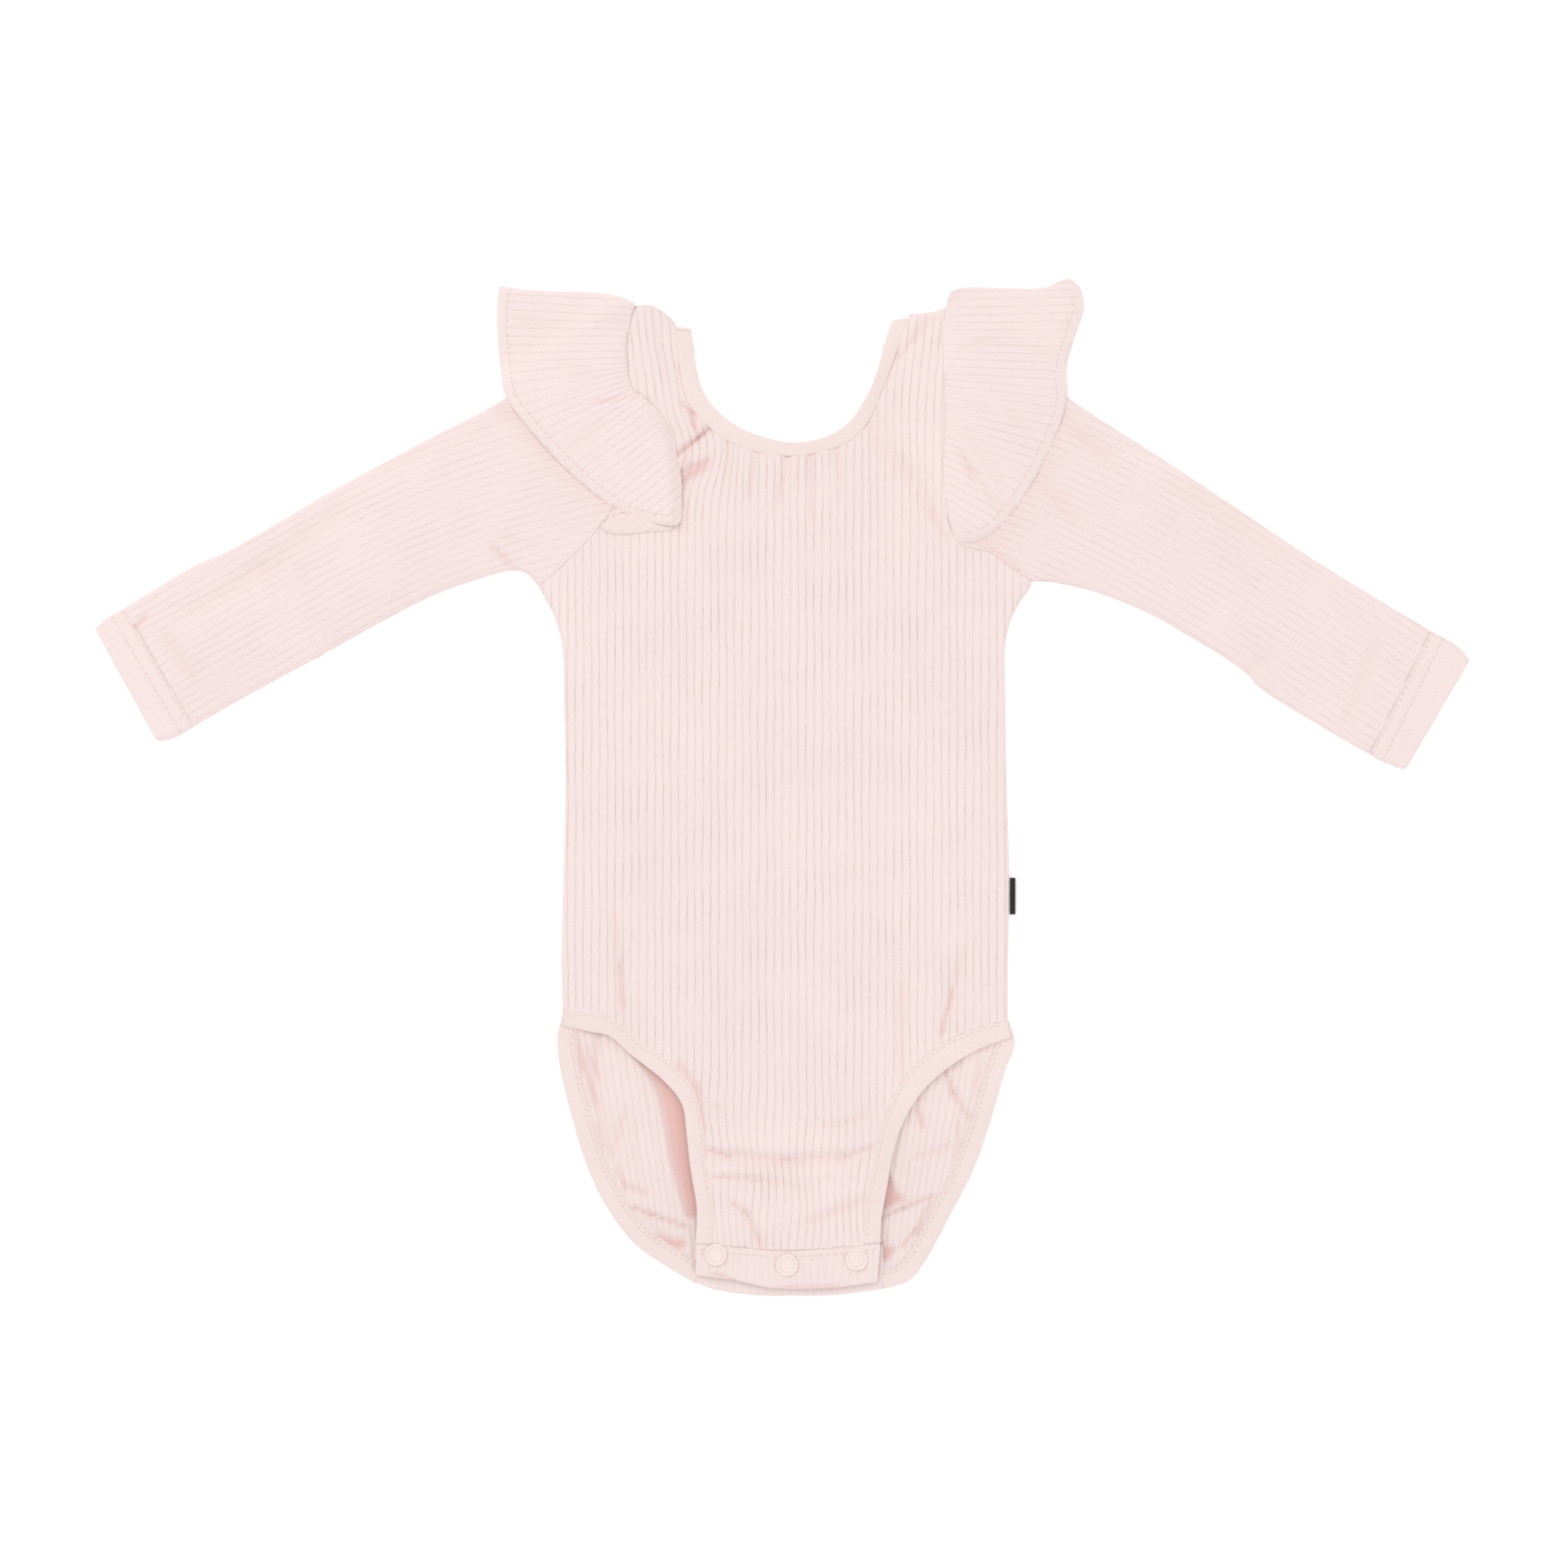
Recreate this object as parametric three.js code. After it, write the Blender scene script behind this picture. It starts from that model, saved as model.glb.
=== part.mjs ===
// Baby bodysuit in rib knit, laid flat on its back with the front up.
// Millimetres: +X is the right side of the front as it is seen, +Y runs to the shoulders, +Z is up.
// The floor is Z = 0, and the middle of the bounding box is at X = Y = 0.
import * as THREE from "three";

// Walls and partings
const CLOTH = 1.2;
const BAND = 1.5;
const GAP = 0.3;
const LAYER = CLOTH + GAP;

// From the middle of a folded edge's straight wall out to its silhouette
const FOLD_REACH = 1.5;

// Rise of the front over the back, away from the closed edges
const PUFF_RISE = 2.4;
const PUFF_RUN = 16;

// Trims
const NECK_BACK_DROP = 2;
const LEG_BAND_BACK = 10;
const SNAP_DIAMETER = 10;
const SNAP_HEIGHT = 1.3;
const SNAP_ROUNDING = 0.5;
const SNAP_SEAT = 0.1;
const LABEL = { x: 101.1, y: -48.5, z: 1.2, width: 2.4, height: 16.2, wall: 1.1 };

// Lift of all that lies on a frill's back leaf, held level for a margin past the leaf
const LIFT_MARGIN = 11;
const LIFT_RUN = 14;

// Drape of a frill past the upper edge of the sleeve that it covers
const DRAPE_MARGIN = 4;
const DRAPE_RUN = 11;
const FRILL_CLEARANCE = 0.6;

// Lift of the front over the flap that comes up under it at the crotch
const FLAP_LIFT = { from: -182, to: -199 };

// Mesh steps
const STEPS = { strap: 8, chest: 5, trunk: 13, crotch: 11, half: 8 };
const BACK_STEPS = { strap: 8, chest: 5, trunk: 13, crotch: 10, half: 5 };
const SLEEVE_RINGS = 9;
const RINGS_TOWARDS_ARMHOLE = 1.4;
const CUFF_RINGS = 2;
const ARC_STEPS = 3;
const CUFF_ACROSS = 6;
const SNAP_SEGMENTS = 16;
const BAND_COLUMNS = 8;
const BAND_ROWS = 2;

// Bow of the rows where a panel's outline turns
const NECK_ROW_SAG = 9;
const ARMPIT_ROW_SAG = 9;
const HIP_ROW_RISE = 26;

// Armhole seams, from the shoulder down to the armpit
const ARMHOLE = {
  left: [
    { x: -65, y: 213.5 }, { x: -67.5, y: 207 }, { x: -69, y: 195 }, { x: -68, y: 181.5 },
    { x: -66.5, y: 172 }, { x: -68, y: 152 }, { x: -72, y: 133 }, { x: -76, y: 121.5 },
    { x: -82, y: 114 }, { x: -95, y: 100.5 }, { x: -108.5, y: 89 },
  ],
  right: [
    { x: 73.5, y: 213 }, { x: 71.5, y: 205 }, { x: 71.5, y: 192 }, { x: 72.5, y: 178 },
    { x: 72.5, y: 160 }, { x: 72, y: 143 }, { x: 72.5, y: 127 }, { x: 74.5, y: 114 },
    { x: 80, y: 107 }, { x: 92, y: 104 }, { x: 101.5, y: 97.5 }, { x: 111.5, y: 91 },
  ],
};
const NECK_LEVEL_ON_ARMHOLE = { left: 0.47, right: 0.42 };

// Neck opening: the free edge of its band, and the seam of the band with the panels
const NECK_EDGE = [
  { x: -41, y: 205.5 }, { x: -39.5, y: 196 }, { x: -38, y: 185 }, { x: -34, y: 173 },
  { x: -22.5, y: 161.5 }, { x: -11, y: 156 }, { x: 4, y: 152.8 }, { x: 19.5, y: 155.4 },
  { x: 29, y: 161.3 }, { x: 37, y: 172.7 }, { x: 42.2, y: 185 }, { x: 45.2, y: 197 }, { x: 49.3, y: 209 },
];
const NECK_SEAM = [
  { x: -47.5, y: 206.5 }, { x: -46, y: 192 }, { x: -44.5, y: 180 }, { x: -41, y: 169.5 },
  { x: -30, y: 157.5 }, { x: -22, y: 152.5 }, { x: -10, y: 148.5 }, { x: 4, y: 147 },
  { x: 20, y: 149.5 }, { x: 31, y: 154.5 }, { x: 38.5, y: 163 }, { x: 44.5, y: 177 },
  { x: 50, y: 192 }, { x: 56.5, y: 210.2 },
];

// Tops of the straps, from the left to the right
const SHOULDER = {
  left: [{ x: -65, y: 213.5 }, { x: -60, y: 214 }, { x: -55, y: 212.5 }, { x: -47.5, y: 206.5 }],
  right: [{ x: 56.5, y: 210 }, { x: 62, y: 210.3 }, { x: 68, y: 211 }, { x: 73.5, y: 213 }],
};

// Side seams, from the armpit down to the leg opening
const SIDE = {
  left: [
    { x: -108.3, y: 88.5 }, { x: -101.5, y: 76 }, { x: -98, y: 63 }, { x: -97, y: 35 },
    { x: -96.5, y: 0 }, { x: -97.7, y: -50 }, { x: -98.3, y: -80 }, { x: -97.6, y: -101 },
  ],
  right: [
    { x: 111.3, y: 90.4 }, { x: 102.3, y: 76 }, { x: 99, y: 63 }, { x: 99, y: 45 },
    { x: 99.5, y: 5 }, { x: 100.7, y: -35 }, { x: 100.2, y: -85 }, { x: 100.2, y: -104 },
  ],
};

// Leg openings: each band's seam and free edge, from the side seam down to the crotch
const FRONT_LEG = {
  left: {
    seam: [
      { x: -97.6, y: -101 }, { x: -84, y: -100.5 }, { x: -73, y: -105.5 }, { x: -62, y: -114.5 },
      { x: -47, y: -125 }, { x: -39, y: -135.5 }, { x: -35.5, y: -149 }, { x: -34.5, y: -165 },
      { x: -31.5, y: -185 }, { x: -31, y: -201.5 },
    ],
    edge: [
      { x: -98, y: -106 }, { x: -86, y: -108.5 }, { x: -77, y: -110.5 }, { x: -67, y: -119 },
      { x: -52, y: -131 }, { x: -44.5, y: -141 }, { x: -42.5, y: -154 }, { x: -41, y: -168 },
      { x: -38, y: -187 }, { x: -38.5, y: -202.5 },
    ],
  },
  right: {
    seam: [
      { x: 100.2, y: -104 }, { x: 84, y: -108 }, { x: 70, y: -115 }, { x: 57, y: -126 },
      { x: 48.5, y: -140 }, { x: 43.5, y: -155 }, { x: 40.5, y: -170 }, { x: 37.5, y: -186 },
      { x: 36.5, y: -200.5 },
    ],
    edge: [
      { x: 102, y: -111 }, { x: 88, y: -116 }, { x: 75, y: -123.5 }, { x: 63, y: -134 },
      { x: 54.5, y: -147 }, { x: 49.5, y: -161 }, { x: 46.5, y: -177 }, { x: 44, y: -191 },
      { x: 43.5, y: -202 },
    ],
  },
};
const BACK_LEG = {
  left: [
    { x: -97.8, y: -101.7 }, { x: -100, y: -112 }, { x: -98.5, y: -126 }, { x: -94.5, y: -143 },
    { x: -88, y: -165 }, { x: -79.5, y: -184 }, { x: -66, y: -202.5 }, { x: -51, y: -213.2 },
    { x: -38.5, y: -220.4 },
  ],
  right: [
    { x: 100.6, y: -104.7 }, { x: 103.3, y: -113.5 }, { x: 99, y: -126 }, { x: 92.5, y: -148 },
    { x: 85, y: -169.5 }, { x: 74, y: -191 }, { x: 62.8, y: -211.5 }, { x: 56, y: -219.4 },
    { x: 44.5, y: -223 },
  ],
};

// Snap band of the front, and the fold of the back's flap that comes up under it
const FRONT_BAND = {
  top: [
    { x: -38.5, y: -202 }, { x: -20, y: -204 }, { x: 2, y: -205.5 }, { x: 27, y: -204 }, { x: 43.5, y: -202 },
  ],
  bottom: [
    { x: -38.5, y: -216.5 }, { x: -22, y: -218.5 }, { x: -5, y: -222 }, { x: 22, y: -222 }, { x: 42, y: -219.5 },
  ],
};
const FLAP = {
  fold: [
    { x: -37, y: -220.8 }, { x: -29, y: -223.5 }, { x: -10, y: -226 }, { x: 6, y: -226.1 },
    { x: 22, y: -225.9 }, { x: 36, y: -224.3 }, { x: 43.2, y: -223.2 },
  ],
  reach: 19,
};
const SNAPS = [{ x: -29.5, y: -207.2 }, { x: 2, y: -211.8 }, { x: 32.8, y: -209.4 }];

// Sleeves: upper and lower edges, from the body out to the cuff
const SLEEVE = {
  left: {
    upper: [
      { x: -69.8, y: 208.8 }, { x: -95, y: 190 }, { x: -122.5, y: 172.5 }, { x: -154.5, y: 156 },
      { x: -197.5, y: 133 }, { x: -237, y: 110 }, { x: -249, y: 103.5 }, { x: -261, y: 98.5 },
      { x: -292.5, y: 79.5 },
    ],
    lower: [
      { x: -109, y: 89.5 }, { x: -113, y: 94.3 }, { x: -119, y: 96.2 }, { x: -135, y: 92.3 },
      { x: -154.5, y: 85.3 }, { x: -176, y: 74.4 }, { x: -208.5, y: 56.4 }, { x: -241, y: 38.7 },
      { x: -261.2, y: 27 },
    ],
  },
  right: {
    upper: [
      { x: 73.5, y: 206.5 }, { x: 100, y: 190 }, { x: 127.5, y: 172 }, { x: 161.5, y: 150.5 },
      { x: 196.5, y: 127.5 }, { x: 231.5, y: 104 }, { x: 266, y: 82.5 }, { x: 288, y: 69.5 },
    ],
    lower: [
      { x: 111.7, y: 91.3 }, { x: 121, y: 90.7 }, { x: 142.5, y: 85.4 }, { x: 164, y: 76.4 },
      { x: 179.5, y: 67.6 }, { x: 196.5, y: 57.3 }, { x: 206, y: 50.4 }, { x: 212, y: 44 },
      { x: 240, y: 26.4 }, { x: 260.7, y: 14.4 },
    ],
  },
};
const CUFF = {
  left: {
    upper: { x: -293.5, y: 79.5 }, upperEnd: { x: -305, y: 70.5 },
    lower: { x: -261.7, y: 26 }, lowerEnd: { x: -277, y: 20 },
  },
  right: {
    upper: { x: 289, y: 69.5 }, upperEnd: { x: 305, y: 58 },
    lower: { x: 261.2, y: 13.5 }, lowerEnd: { x: 276, y: 7.6 },
  },
};

// Frills: the fold over the shoulder, the hem, and the root at the armhole seam or past it
const FRILL = {
  left: {
    fold: [
      { x: -65.7, y: 214.5 }, { x: -70, y: 217 }, { x: -77, y: 218.9 }, { x: -88, y: 220 },
      { x: -102, y: 220.3 }, { x: -117, y: 221.3 }, { x: -126, y: 222.5 },
    ],
    hem: [
      { x: -126, y: 222.5 }, { x: -126.8, y: 208 }, { x: -125, y: 185 }, { x: -122.5, y: 173 },
      { x: -114.5, y: 161.5 }, { x: -97, y: 142 }, { x: -79, y: 126.5 }, { x: -68, y: 119.7 },
      { x: -59, y: 117 }, { x: -47.5, y: 115.2 },
    ],
    root: [
      { x: -65.7, y: 214.5 }, { x: -69, y: 200 }, { x: -69, y: 190 }, { x: -67, y: 177 },
      { x: -60.5, y: 171.5 }, { x: -52, y: 161 }, { x: -46, y: 142 }, { x: -45, y: 128 },
      { x: -45.3, y: 117.5 },
    ],
  },
  right: {
    fold: [
      { x: 75, y: 219.6 }, { x: 79, y: 221.6 }, { x: 86, y: 222 }, { x: 101, y: 221.5 },
      { x: 117, y: 222 }, { x: 127, y: 226 }, { x: 132.6, y: 221.5 },
    ],
    hem: [
      { x: 132.6, y: 221.5 }, { x: 133.9, y: 213 }, { x: 129.3, y: 198 }, { x: 125.5, y: 184 },
      { x: 126, y: 171 }, { x: 120, y: 153 }, { x: 108.5, y: 131 }, { x: 97, y: 116 }, { x: 87, y: 109 },
    ],
    root: [
      { x: 75, y: 219.6 }, { x: 71.7, y: 205 }, { x: 72, y: 184 }, { x: 72.5, y: 160 },
      { x: 71.5, y: 141 }, { x: 73.5, y: 121 }, { x: 77, y: 109.5 },
    ],
  },
};
const FRILL_STEPS = { down: 10, across: 7, back: 6 };
const BACK_LEAF_INSET = 6;

// Largest folds of the front: troughs from one end to the other
const FOLDS = [
  { x1: -31, y1: 161, x2: -46, y2: 147, depth: 1.2, width: 4.5 },
  { x1: -33, y1: 146, x2: -46, y2: 134, depth: 1.4, width: 4.5 },
  { x1: 64, y1: 209, x2: 51, y2: 193, depth: 1, width: 4 },
  { x1: 37, y1: 160, x2: 54, y2: 140, depth: 1, width: 5 },
  { x1: 54, y1: 140, x2: 72, y2: 110, depth: 1.6, width: 5.5 },
  { x1: -74, y1: -55, x2: -71, y2: -97, depth: 1, width: 5 },
  { x1: 80, y1: -72, x2: 71, y2: -108, depth: 1.2, width: 5 },
  { x1: -33, y1: -160, x2: 0, y2: -165, depth: 1.3, width: 5 },
  { x1: 0, y1: -165, x2: 42, y2: -160, depth: 1.3, width: 5 },
  { x1: -21, y1: -186, x2: -9, y2: -203, depth: 0.8, width: 4 },
];

// Largest folds of the back where the leg openings show it: ridges from one end to the other
const RIDGES = [
  { x1: -66, y1: -122, x2: -53, y2: -160, depth: 2.4, width: 8 },
  { x1: -53, y1: -160, x2: -49, y2: -186, depth: 2.4, width: 7 },
  { x1: 78, y1: -128, x2: 70, y2: -160, depth: 1.8, width: 8 },
];

const vector = ({ x, y }, z = 0) => new THREE.Vector3(x, y, z);
const mix = (a, b, t) => a.clone().lerp(b, t);

// A smooth line through table rows, cut into steps between two fractions of its length;
// they are equal, or closer at its start where the crowding is over 1
function walk(rows, steps, from = 0, to = 1, crowding = 1) {
  const curve = new THREE.CatmullRomCurve3(rows.map((row) => vector(row)), false, "centripetal");
  const part = (i) => (i / steps) ** crowding;
  return Array.from({ length: steps + 1 }, (_, i) => curve.getPointAt(from + (to - from) * part(i)));
}

// The same line moved to its left (as it is walked) by a distance
function aside(points, distance) {
  return points.map((point, i) => {
    const next = points[Math.min(i + 1, points.length - 1)];
    const along = next.clone().sub(points[Math.max(i - 1, 0)]).normalize();
    return point.clone().add(new THREE.Vector3(-along.y, along.x, 0).multiplyScalar(distance));
  });
}

function straight(a, b, steps) {
  return Array.from({ length: steps + 1 }, (_, i) => mix(a, b, i / steps));
}

// A straight row bowed up or down in its middle
function bowed(a, b, steps, rise) {
  return straight(a, b, steps).map((point, i) => {
    const across = (2 * i) / steps - 1;
    point.y += rise * (1 - across * across);
    return point;
  });
}

function distanceTo(points, x, y) {
  const here = new THREE.Vector3(x, y, 0);
  const closest = new THREE.Vector3();
  let least = Infinity;
  for (let i = 1; i < points.length; i += 1) {
    const piece = new THREE.Line3(points[i - 1], points[i]);
    piece.closestPointToPoint(here, true, closest);
    least = Math.min(least, closest.distanceTo(here));
  }
  return least;
}

const SIDES = ["left", "right"];
const UPPER_EDGE = Object.fromEntries(SIDES.map((side) => [side, walk(SLEEVE[side].upper, 40)]));
const CLOSED_EDGES = SIDES.flatMap((side) => [
  UPPER_EDGE[side],
  walk(SLEEVE[side].lower, 24),
  walk(SIDE[side], 20),
]);
const FOLDED_SHOULDERS = [
  [vector(ARMHOLE.left[0]), vector(NECK_EDGE[0])],
  [vector(ARMHOLE.right[0]), vector(NECK_EDGE.at(-1))],
];

// Back leaves of the frills, drawn a little smaller than the front ones
const BACK_LEAF = Object.fromEntries(SIDES.map((side) => {
  const sign = side === "left" ? 1 : -1;
  const hem = aside(walk(FRILL[side].hem, FRILL_STEPS.back, 0, 0.72), sign * BACK_LEAF_INSET);
  const root = walk(ARMHOLE[side], FRILL_STEPS.back, 0, 0.62);
  return [side, { hem, root }];
}));

function lift(x, y) {
  const side = x < 0 ? "left" : "right";
  const { hem, root } = BACK_LEAF[side];
  const outline = [...root, ...hem.slice().reverse(), root[0]];
  const inside = insideOf(outline, x, y);
  const away = inside ? 0 : distanceTo(outline, x, y);
  return LAYER * (1 - THREE.MathUtils.smoothstep(away, LIFT_MARGIN, LIFT_MARGIN + LIFT_RUN));
}

function insideOf(outline, x, y) {
  let inside = false;
  for (let i = 1; i < outline.length; i += 1) {
    const a = outline[i - 1];
    const b = outline[i];
    if (a.y > y !== b.y > y && x < a.x + ((b.x - a.x) * (y - a.y)) / (b.y - a.y)) inside = !inside;
  }
  return inside;
}

function puff(x, y) {
  const edges = [...CLOSED_EDGES, ...FOLDED_SHOULDERS];
  const away = Math.min(...edges.map((edge) => distanceTo(edge, x, y)));
  return PUFF_RISE * (1 - Math.exp(-away / PUFF_RUN));
}

// The deepest of a table's folds at a place
function foldAt(rows, x, y) {
  return Math.max(...rows.map(({ x1, y1, x2, y2, depth, width }) => {
    const away = distanceTo([new THREE.Vector3(x1, y1, 0), new THREE.Vector3(x2, y2, 0)], x, y);
    return depth * Math.exp(-((away / width) ** 2));
  }));
}

function flapLift(y) {
  return LAYER * (1 - THREE.MathUtils.smoothstep(y, FLAP_LIFT.to, FLAP_LIFT.from));
}

// Underside of the back cloth and of the front cloth
const backUnder = (x, y) => lift(x, y) + foldAt(RIDGES, x, y);
const frontUnder = (x, y) => {
  const hollow = Math.max(GAP, puff(x, y) - foldAt(FOLDS, x, y));
  return lift(x, y) + LAYER + flapLift(y) + hollow;
};

// Rows of points between two lines of equal step count, fitted to a top and a bottom row
function patch(left, right, top, bottom) {
  const rows = left.length - 1;
  const columns = top.length - 1;
  return left.map((start, i) => top.map((above, j) => {
    const across = j / columns;
    const point = mix(start, right[i], across);
    const topBend = above.clone().sub(mix(left[0], right[0], across));
    const bottomBend = bottom[j].clone().sub(mix(left[rows], right[rows], across));
    return point.add(mix(topBend, bottomBend, i / rows));
  }));
}

function geometryOf(vertices, faces) {
  const geometry = new THREE.BufferGeometry();
  const numbers = vertices.flatMap(({ x, y, z }) => [x, y, z]);
  geometry.setAttribute("position", new THREE.Float32BufferAttribute(numbers, 3));
  geometry.setIndex(faces.flat());
  return geometry;
}

// Two triangles of a quad, cut along its shorter diagonal
function splitQuad(points, a, b, c, d) {
  const shortAC = points[a].distanceTo(points[c]) <= points[b].distanceTo(points[d]);
  return shortAC ? [[a, b, c], [a, c, d]] : [[a, b, d], [b, c, d]];
}

// A sheet of cloth over plan patches that share their edges, with a wall from under to over
function sheet(patches, under, over) {
  const plan = [];
  const found = new Map();
  const faces = [];
  const indexOf = (point) => {
    const key = `${point.x.toFixed(4)},${point.y.toFixed(4)}`;
    if (!found.has(key)) found.set(key, plan.push(point) - 1);
    return found.get(key);
  };
  for (const grid of patches) {
    const ids = grid.map((row) => row.map(indexOf));
    for (let i = 1; i < ids.length; i += 1) {
      for (let j = 1; j < ids[i].length; j += 1) {
        faces.push(...splitQuad(plan, ids[i - 1][j - 1], ids[i - 1][j], ids[i][j], ids[i][j - 1]));
      }
    }
  }
  const upward = faces
    .filter(([a, b, c]) => new Set([a, b, c]).size === 3)
    .map(([a, b, c]) => {
      const first = plan[b].clone().sub(plan[a]);
      const second = plan[c].clone().sub(plan[a]);
      return first.cross(second).z > 0 ? [a, b, c] : [a, c, b];
    });
  const count = plan.length;
  const vertices = [
    ...plan.map(({ x, y }) => new THREE.Vector3(x, y, over(x, y))),
    ...plan.map(({ x, y }) => new THREE.Vector3(x, y, under(x, y))),
  ];
  const edges = new Map();
  for (const [a, b, c] of upward) {
    for (const [p, q] of [[a, b], [b, c], [c, a]]) {
      if (edges.has(`${q},${p}`)) edges.delete(`${q},${p}`);
      else edges.set(`${p},${q}`, [p, q]);
    }
  }
  const solid = upward.flatMap(([a, b, c]) => [[a, b, c], [c + count, b + count, a + count]]);
  for (const [p, q] of edges.values()) solid.push([q, p, p + count], [q, p + count, q + count]);
  return geometryOf(vertices, solid);
}

// A wall about a grid of middle points in space, closed on itself along its rows or its columns
function shell(grid, wall, { loopRows = false, loopColumns = false } = {}) {
  const rows = grid.length;
  const columns = grid[0].length;
  const at = (i, j) => grid[wrap(i, rows, loopRows)][wrap(j, columns, loopColumns)];
  const vertices = [];
  for (const sign of [1, -1]) {
    for (let i = 0; i < rows; i += 1) {
      for (let j = 0; j < columns; j += 1) {
        const down = at(i + 1, j).clone().sub(at(i - 1, j));
        const across = at(i, j + 1).clone().sub(at(i, j - 1));
        const normal = across.cross(down).normalize().negate();
        vertices.push(at(i, j).clone().addScaledVector(normal, (sign * wall) / 2));
      }
    }
  }
  const half = rows * columns;
  const id = (i, j) => (i % rows) * columns + (j % columns);
  const faces = [];
  for (let i = 0; i < rows - (loopRows ? 0 : 1); i += 1) {
    for (let j = 0; j < columns - (loopColumns ? 0 : 1); j += 1) {
      const quad = [id(i, j), id(i + 1, j), id(i + 1, j + 1), id(i, j + 1)];
      for (const [a, b, c] of splitQuad(vertices, ...quad)) {
        faces.push([a, b, c], [c + half, b + half, a + half]);
      }
    }
  }
  const rim = (p, q) => faces.push([q, p, p + half], [q, p + half, q + half]);
  if (!loopColumns) {
    for (let i = 0; i < rows - (loopRows ? 0 : 1); i += 1) {
      rim(id(i, 0), id(i + 1, 0));
      rim(id(i + 1, columns - 1), id(i, columns - 1));
    }
  }
  if (!loopRows) {
    for (let j = 0; j < columns - (loopColumns ? 0 : 1); j += 1) {
      rim(id(0, j + 1), id(0, j));
      rim(id(rows - 1, j), id(rows - 1, j + 1));
    }
  }
  return geometryOf(vertices, faces);
}

function wrap(i, count, loop) {
  return loop ? (i + count) % count : Math.min(Math.max(i, 0), count - 1);
}

// Top row of a strap, bent like its shoulder between its two ends
function shoulderRow(side, start, end, steps) {
  const shoulder = walk(SHOULDER[side], steps);
  const moves = straight(start.clone().sub(shoulder[0]), end.clone().sub(shoulder[steps]), steps);
  return shoulder.map((point, i) => point.add(moves[i]));
}

// Plan patches of a panel: two straps, the chest, the trunk and the crotch
function panelPatches(steps, neck, legs, bottomRow) {
  const strapEnd = NECK_LEVEL_ON_ARMHOLE;
  const armhole = {
    left: aside(walk(ARMHOLE.left, steps.strap, 0, strapEnd.left), GAP / 2),
    right: aside(walk(ARMHOLE.right, steps.strap, 0, strapEnd.right), -GAP / 2),
  };
  const lowArmhole = {
    left: aside(walk(ARMHOLE.left, steps.chest, strapEnd.left, 1), GAP / 2),
    right: aside(walk(ARMHOLE.right, steps.chest, strapEnd.right, 1), -GAP / 2),
  };
  lowArmhole.left[0] = armhole.left.at(-1);
  lowArmhole.right[0] = armhole.right.at(-1);
  const side = { left: walk(SIDE.left, steps.trunk), right: walk(SIDE.right, steps.trunk) };
  lowArmhole.left[steps.chest] = side.left[0];
  lowArmhole.right[steps.chest] = side.right[0];
  const leftNeck = neck.slice(0, steps.strap + 1);
  const rightNeck = neck.slice(steps.strap).reverse();
  const middle = neck[steps.strap];
  const half = steps.half;
  const leftRow = bowed(armhole.left.at(-1), middle, half, -NECK_ROW_SAG);
  const rightRow = bowed(middle, armhole.right.at(-1), half, -NECK_ROW_SAG);
  const neckRow = [...leftRow, ...rightRow.slice(1)];
  const armpitRow = bowed(side.left[0], side.right[0], 2 * half, -ARMPIT_ROW_SAG);
  const hipRow = bowed(side.left.at(-1), side.right.at(-1), 2 * half, HIP_ROW_RISE);
  legs.left[0] = side.left.at(-1);
  legs.right[0] = side.right.at(-1);
  return [
    patch(armhole.left, leftNeck, shoulderRow("left", armhole.left[0], leftNeck[0], half), leftRow),
    patch(rightNeck, armhole.right, shoulderRow("right", rightNeck[0], armhole.right[0], half), rightRow),
    patch(lowArmhole.left, lowArmhole.right, neckRow, armpitRow),
    patch(side.left, side.right, armpitRow, hipRow),
    patch(legs.left, legs.right, hipRow, bottomRow(legs.left.at(-1), legs.right.at(-1), 2 * half)),
  ];
}

// A line of the neck, hanging lower in its middle on the back than on the front
function neckLine(rows, drop) {
  const steps = 2 * STEPS.strap;
  const hang = (i) => drop * Math.sin((Math.PI * i) / steps);
  return walk(rows, steps).map(({ x, y }, i) => new THREE.Vector3(x, y - hang(i), 0));
}

// Height of a line that runs from left to right, at a place across
function heightAt(points, x) {
  const found = points.findIndex((point, k) => k > 0 && point.x >= x);
  const i = found < 0 ? points.length - 1 : found;
  const a = points[i - 1];
  const b = points[i];
  return a.y + ((b.y - a.y) * (x - a.x)) / (b.x - a.x);
}

const bandTop = walk(FRONT_BAND.top, BAND_COLUMNS);
const onBandTop = ({ x }) => new THREE.Vector3(x, heightAt(bandTop, x) + GAP / 2, 0);

// Seam of a front leg band, moved to the panel or to the band
function frontLegSeam(side, distance) {
  const sign = side === "left" ? 1 : -1;
  const seam = aside(walk(FRONT_LEG[side].seam, STEPS.crotch), sign * distance);
  seam[STEPS.crotch] = onBandTop(seam[STEPS.crotch]);
  return seam;
}

function frontPanel() {
  const legs = { left: frontLegSeam("left", GAP / 2), right: frontLegSeam("right", GAP / 2) };
  const bottomRow = (left, right, count) => straight(left, right, count).map(onBandTop);
  const patches = panelPatches(STEPS, aside(neckLine(NECK_SEAM, 0), -GAP / 2), legs, bottomRow);
  return sheet(patches, frontUnder, (x, y) => frontUnder(x, y) + CLOTH);
}

// Inner line of a back leg band, at a distance from its free edge
function backLegSeam(side, distance) {
  const sign = side === "left" ? 1 : -1;
  return aside(walk(BACK_LEG[side], BACK_STEPS.crotch - 1), sign * distance);
}

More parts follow.
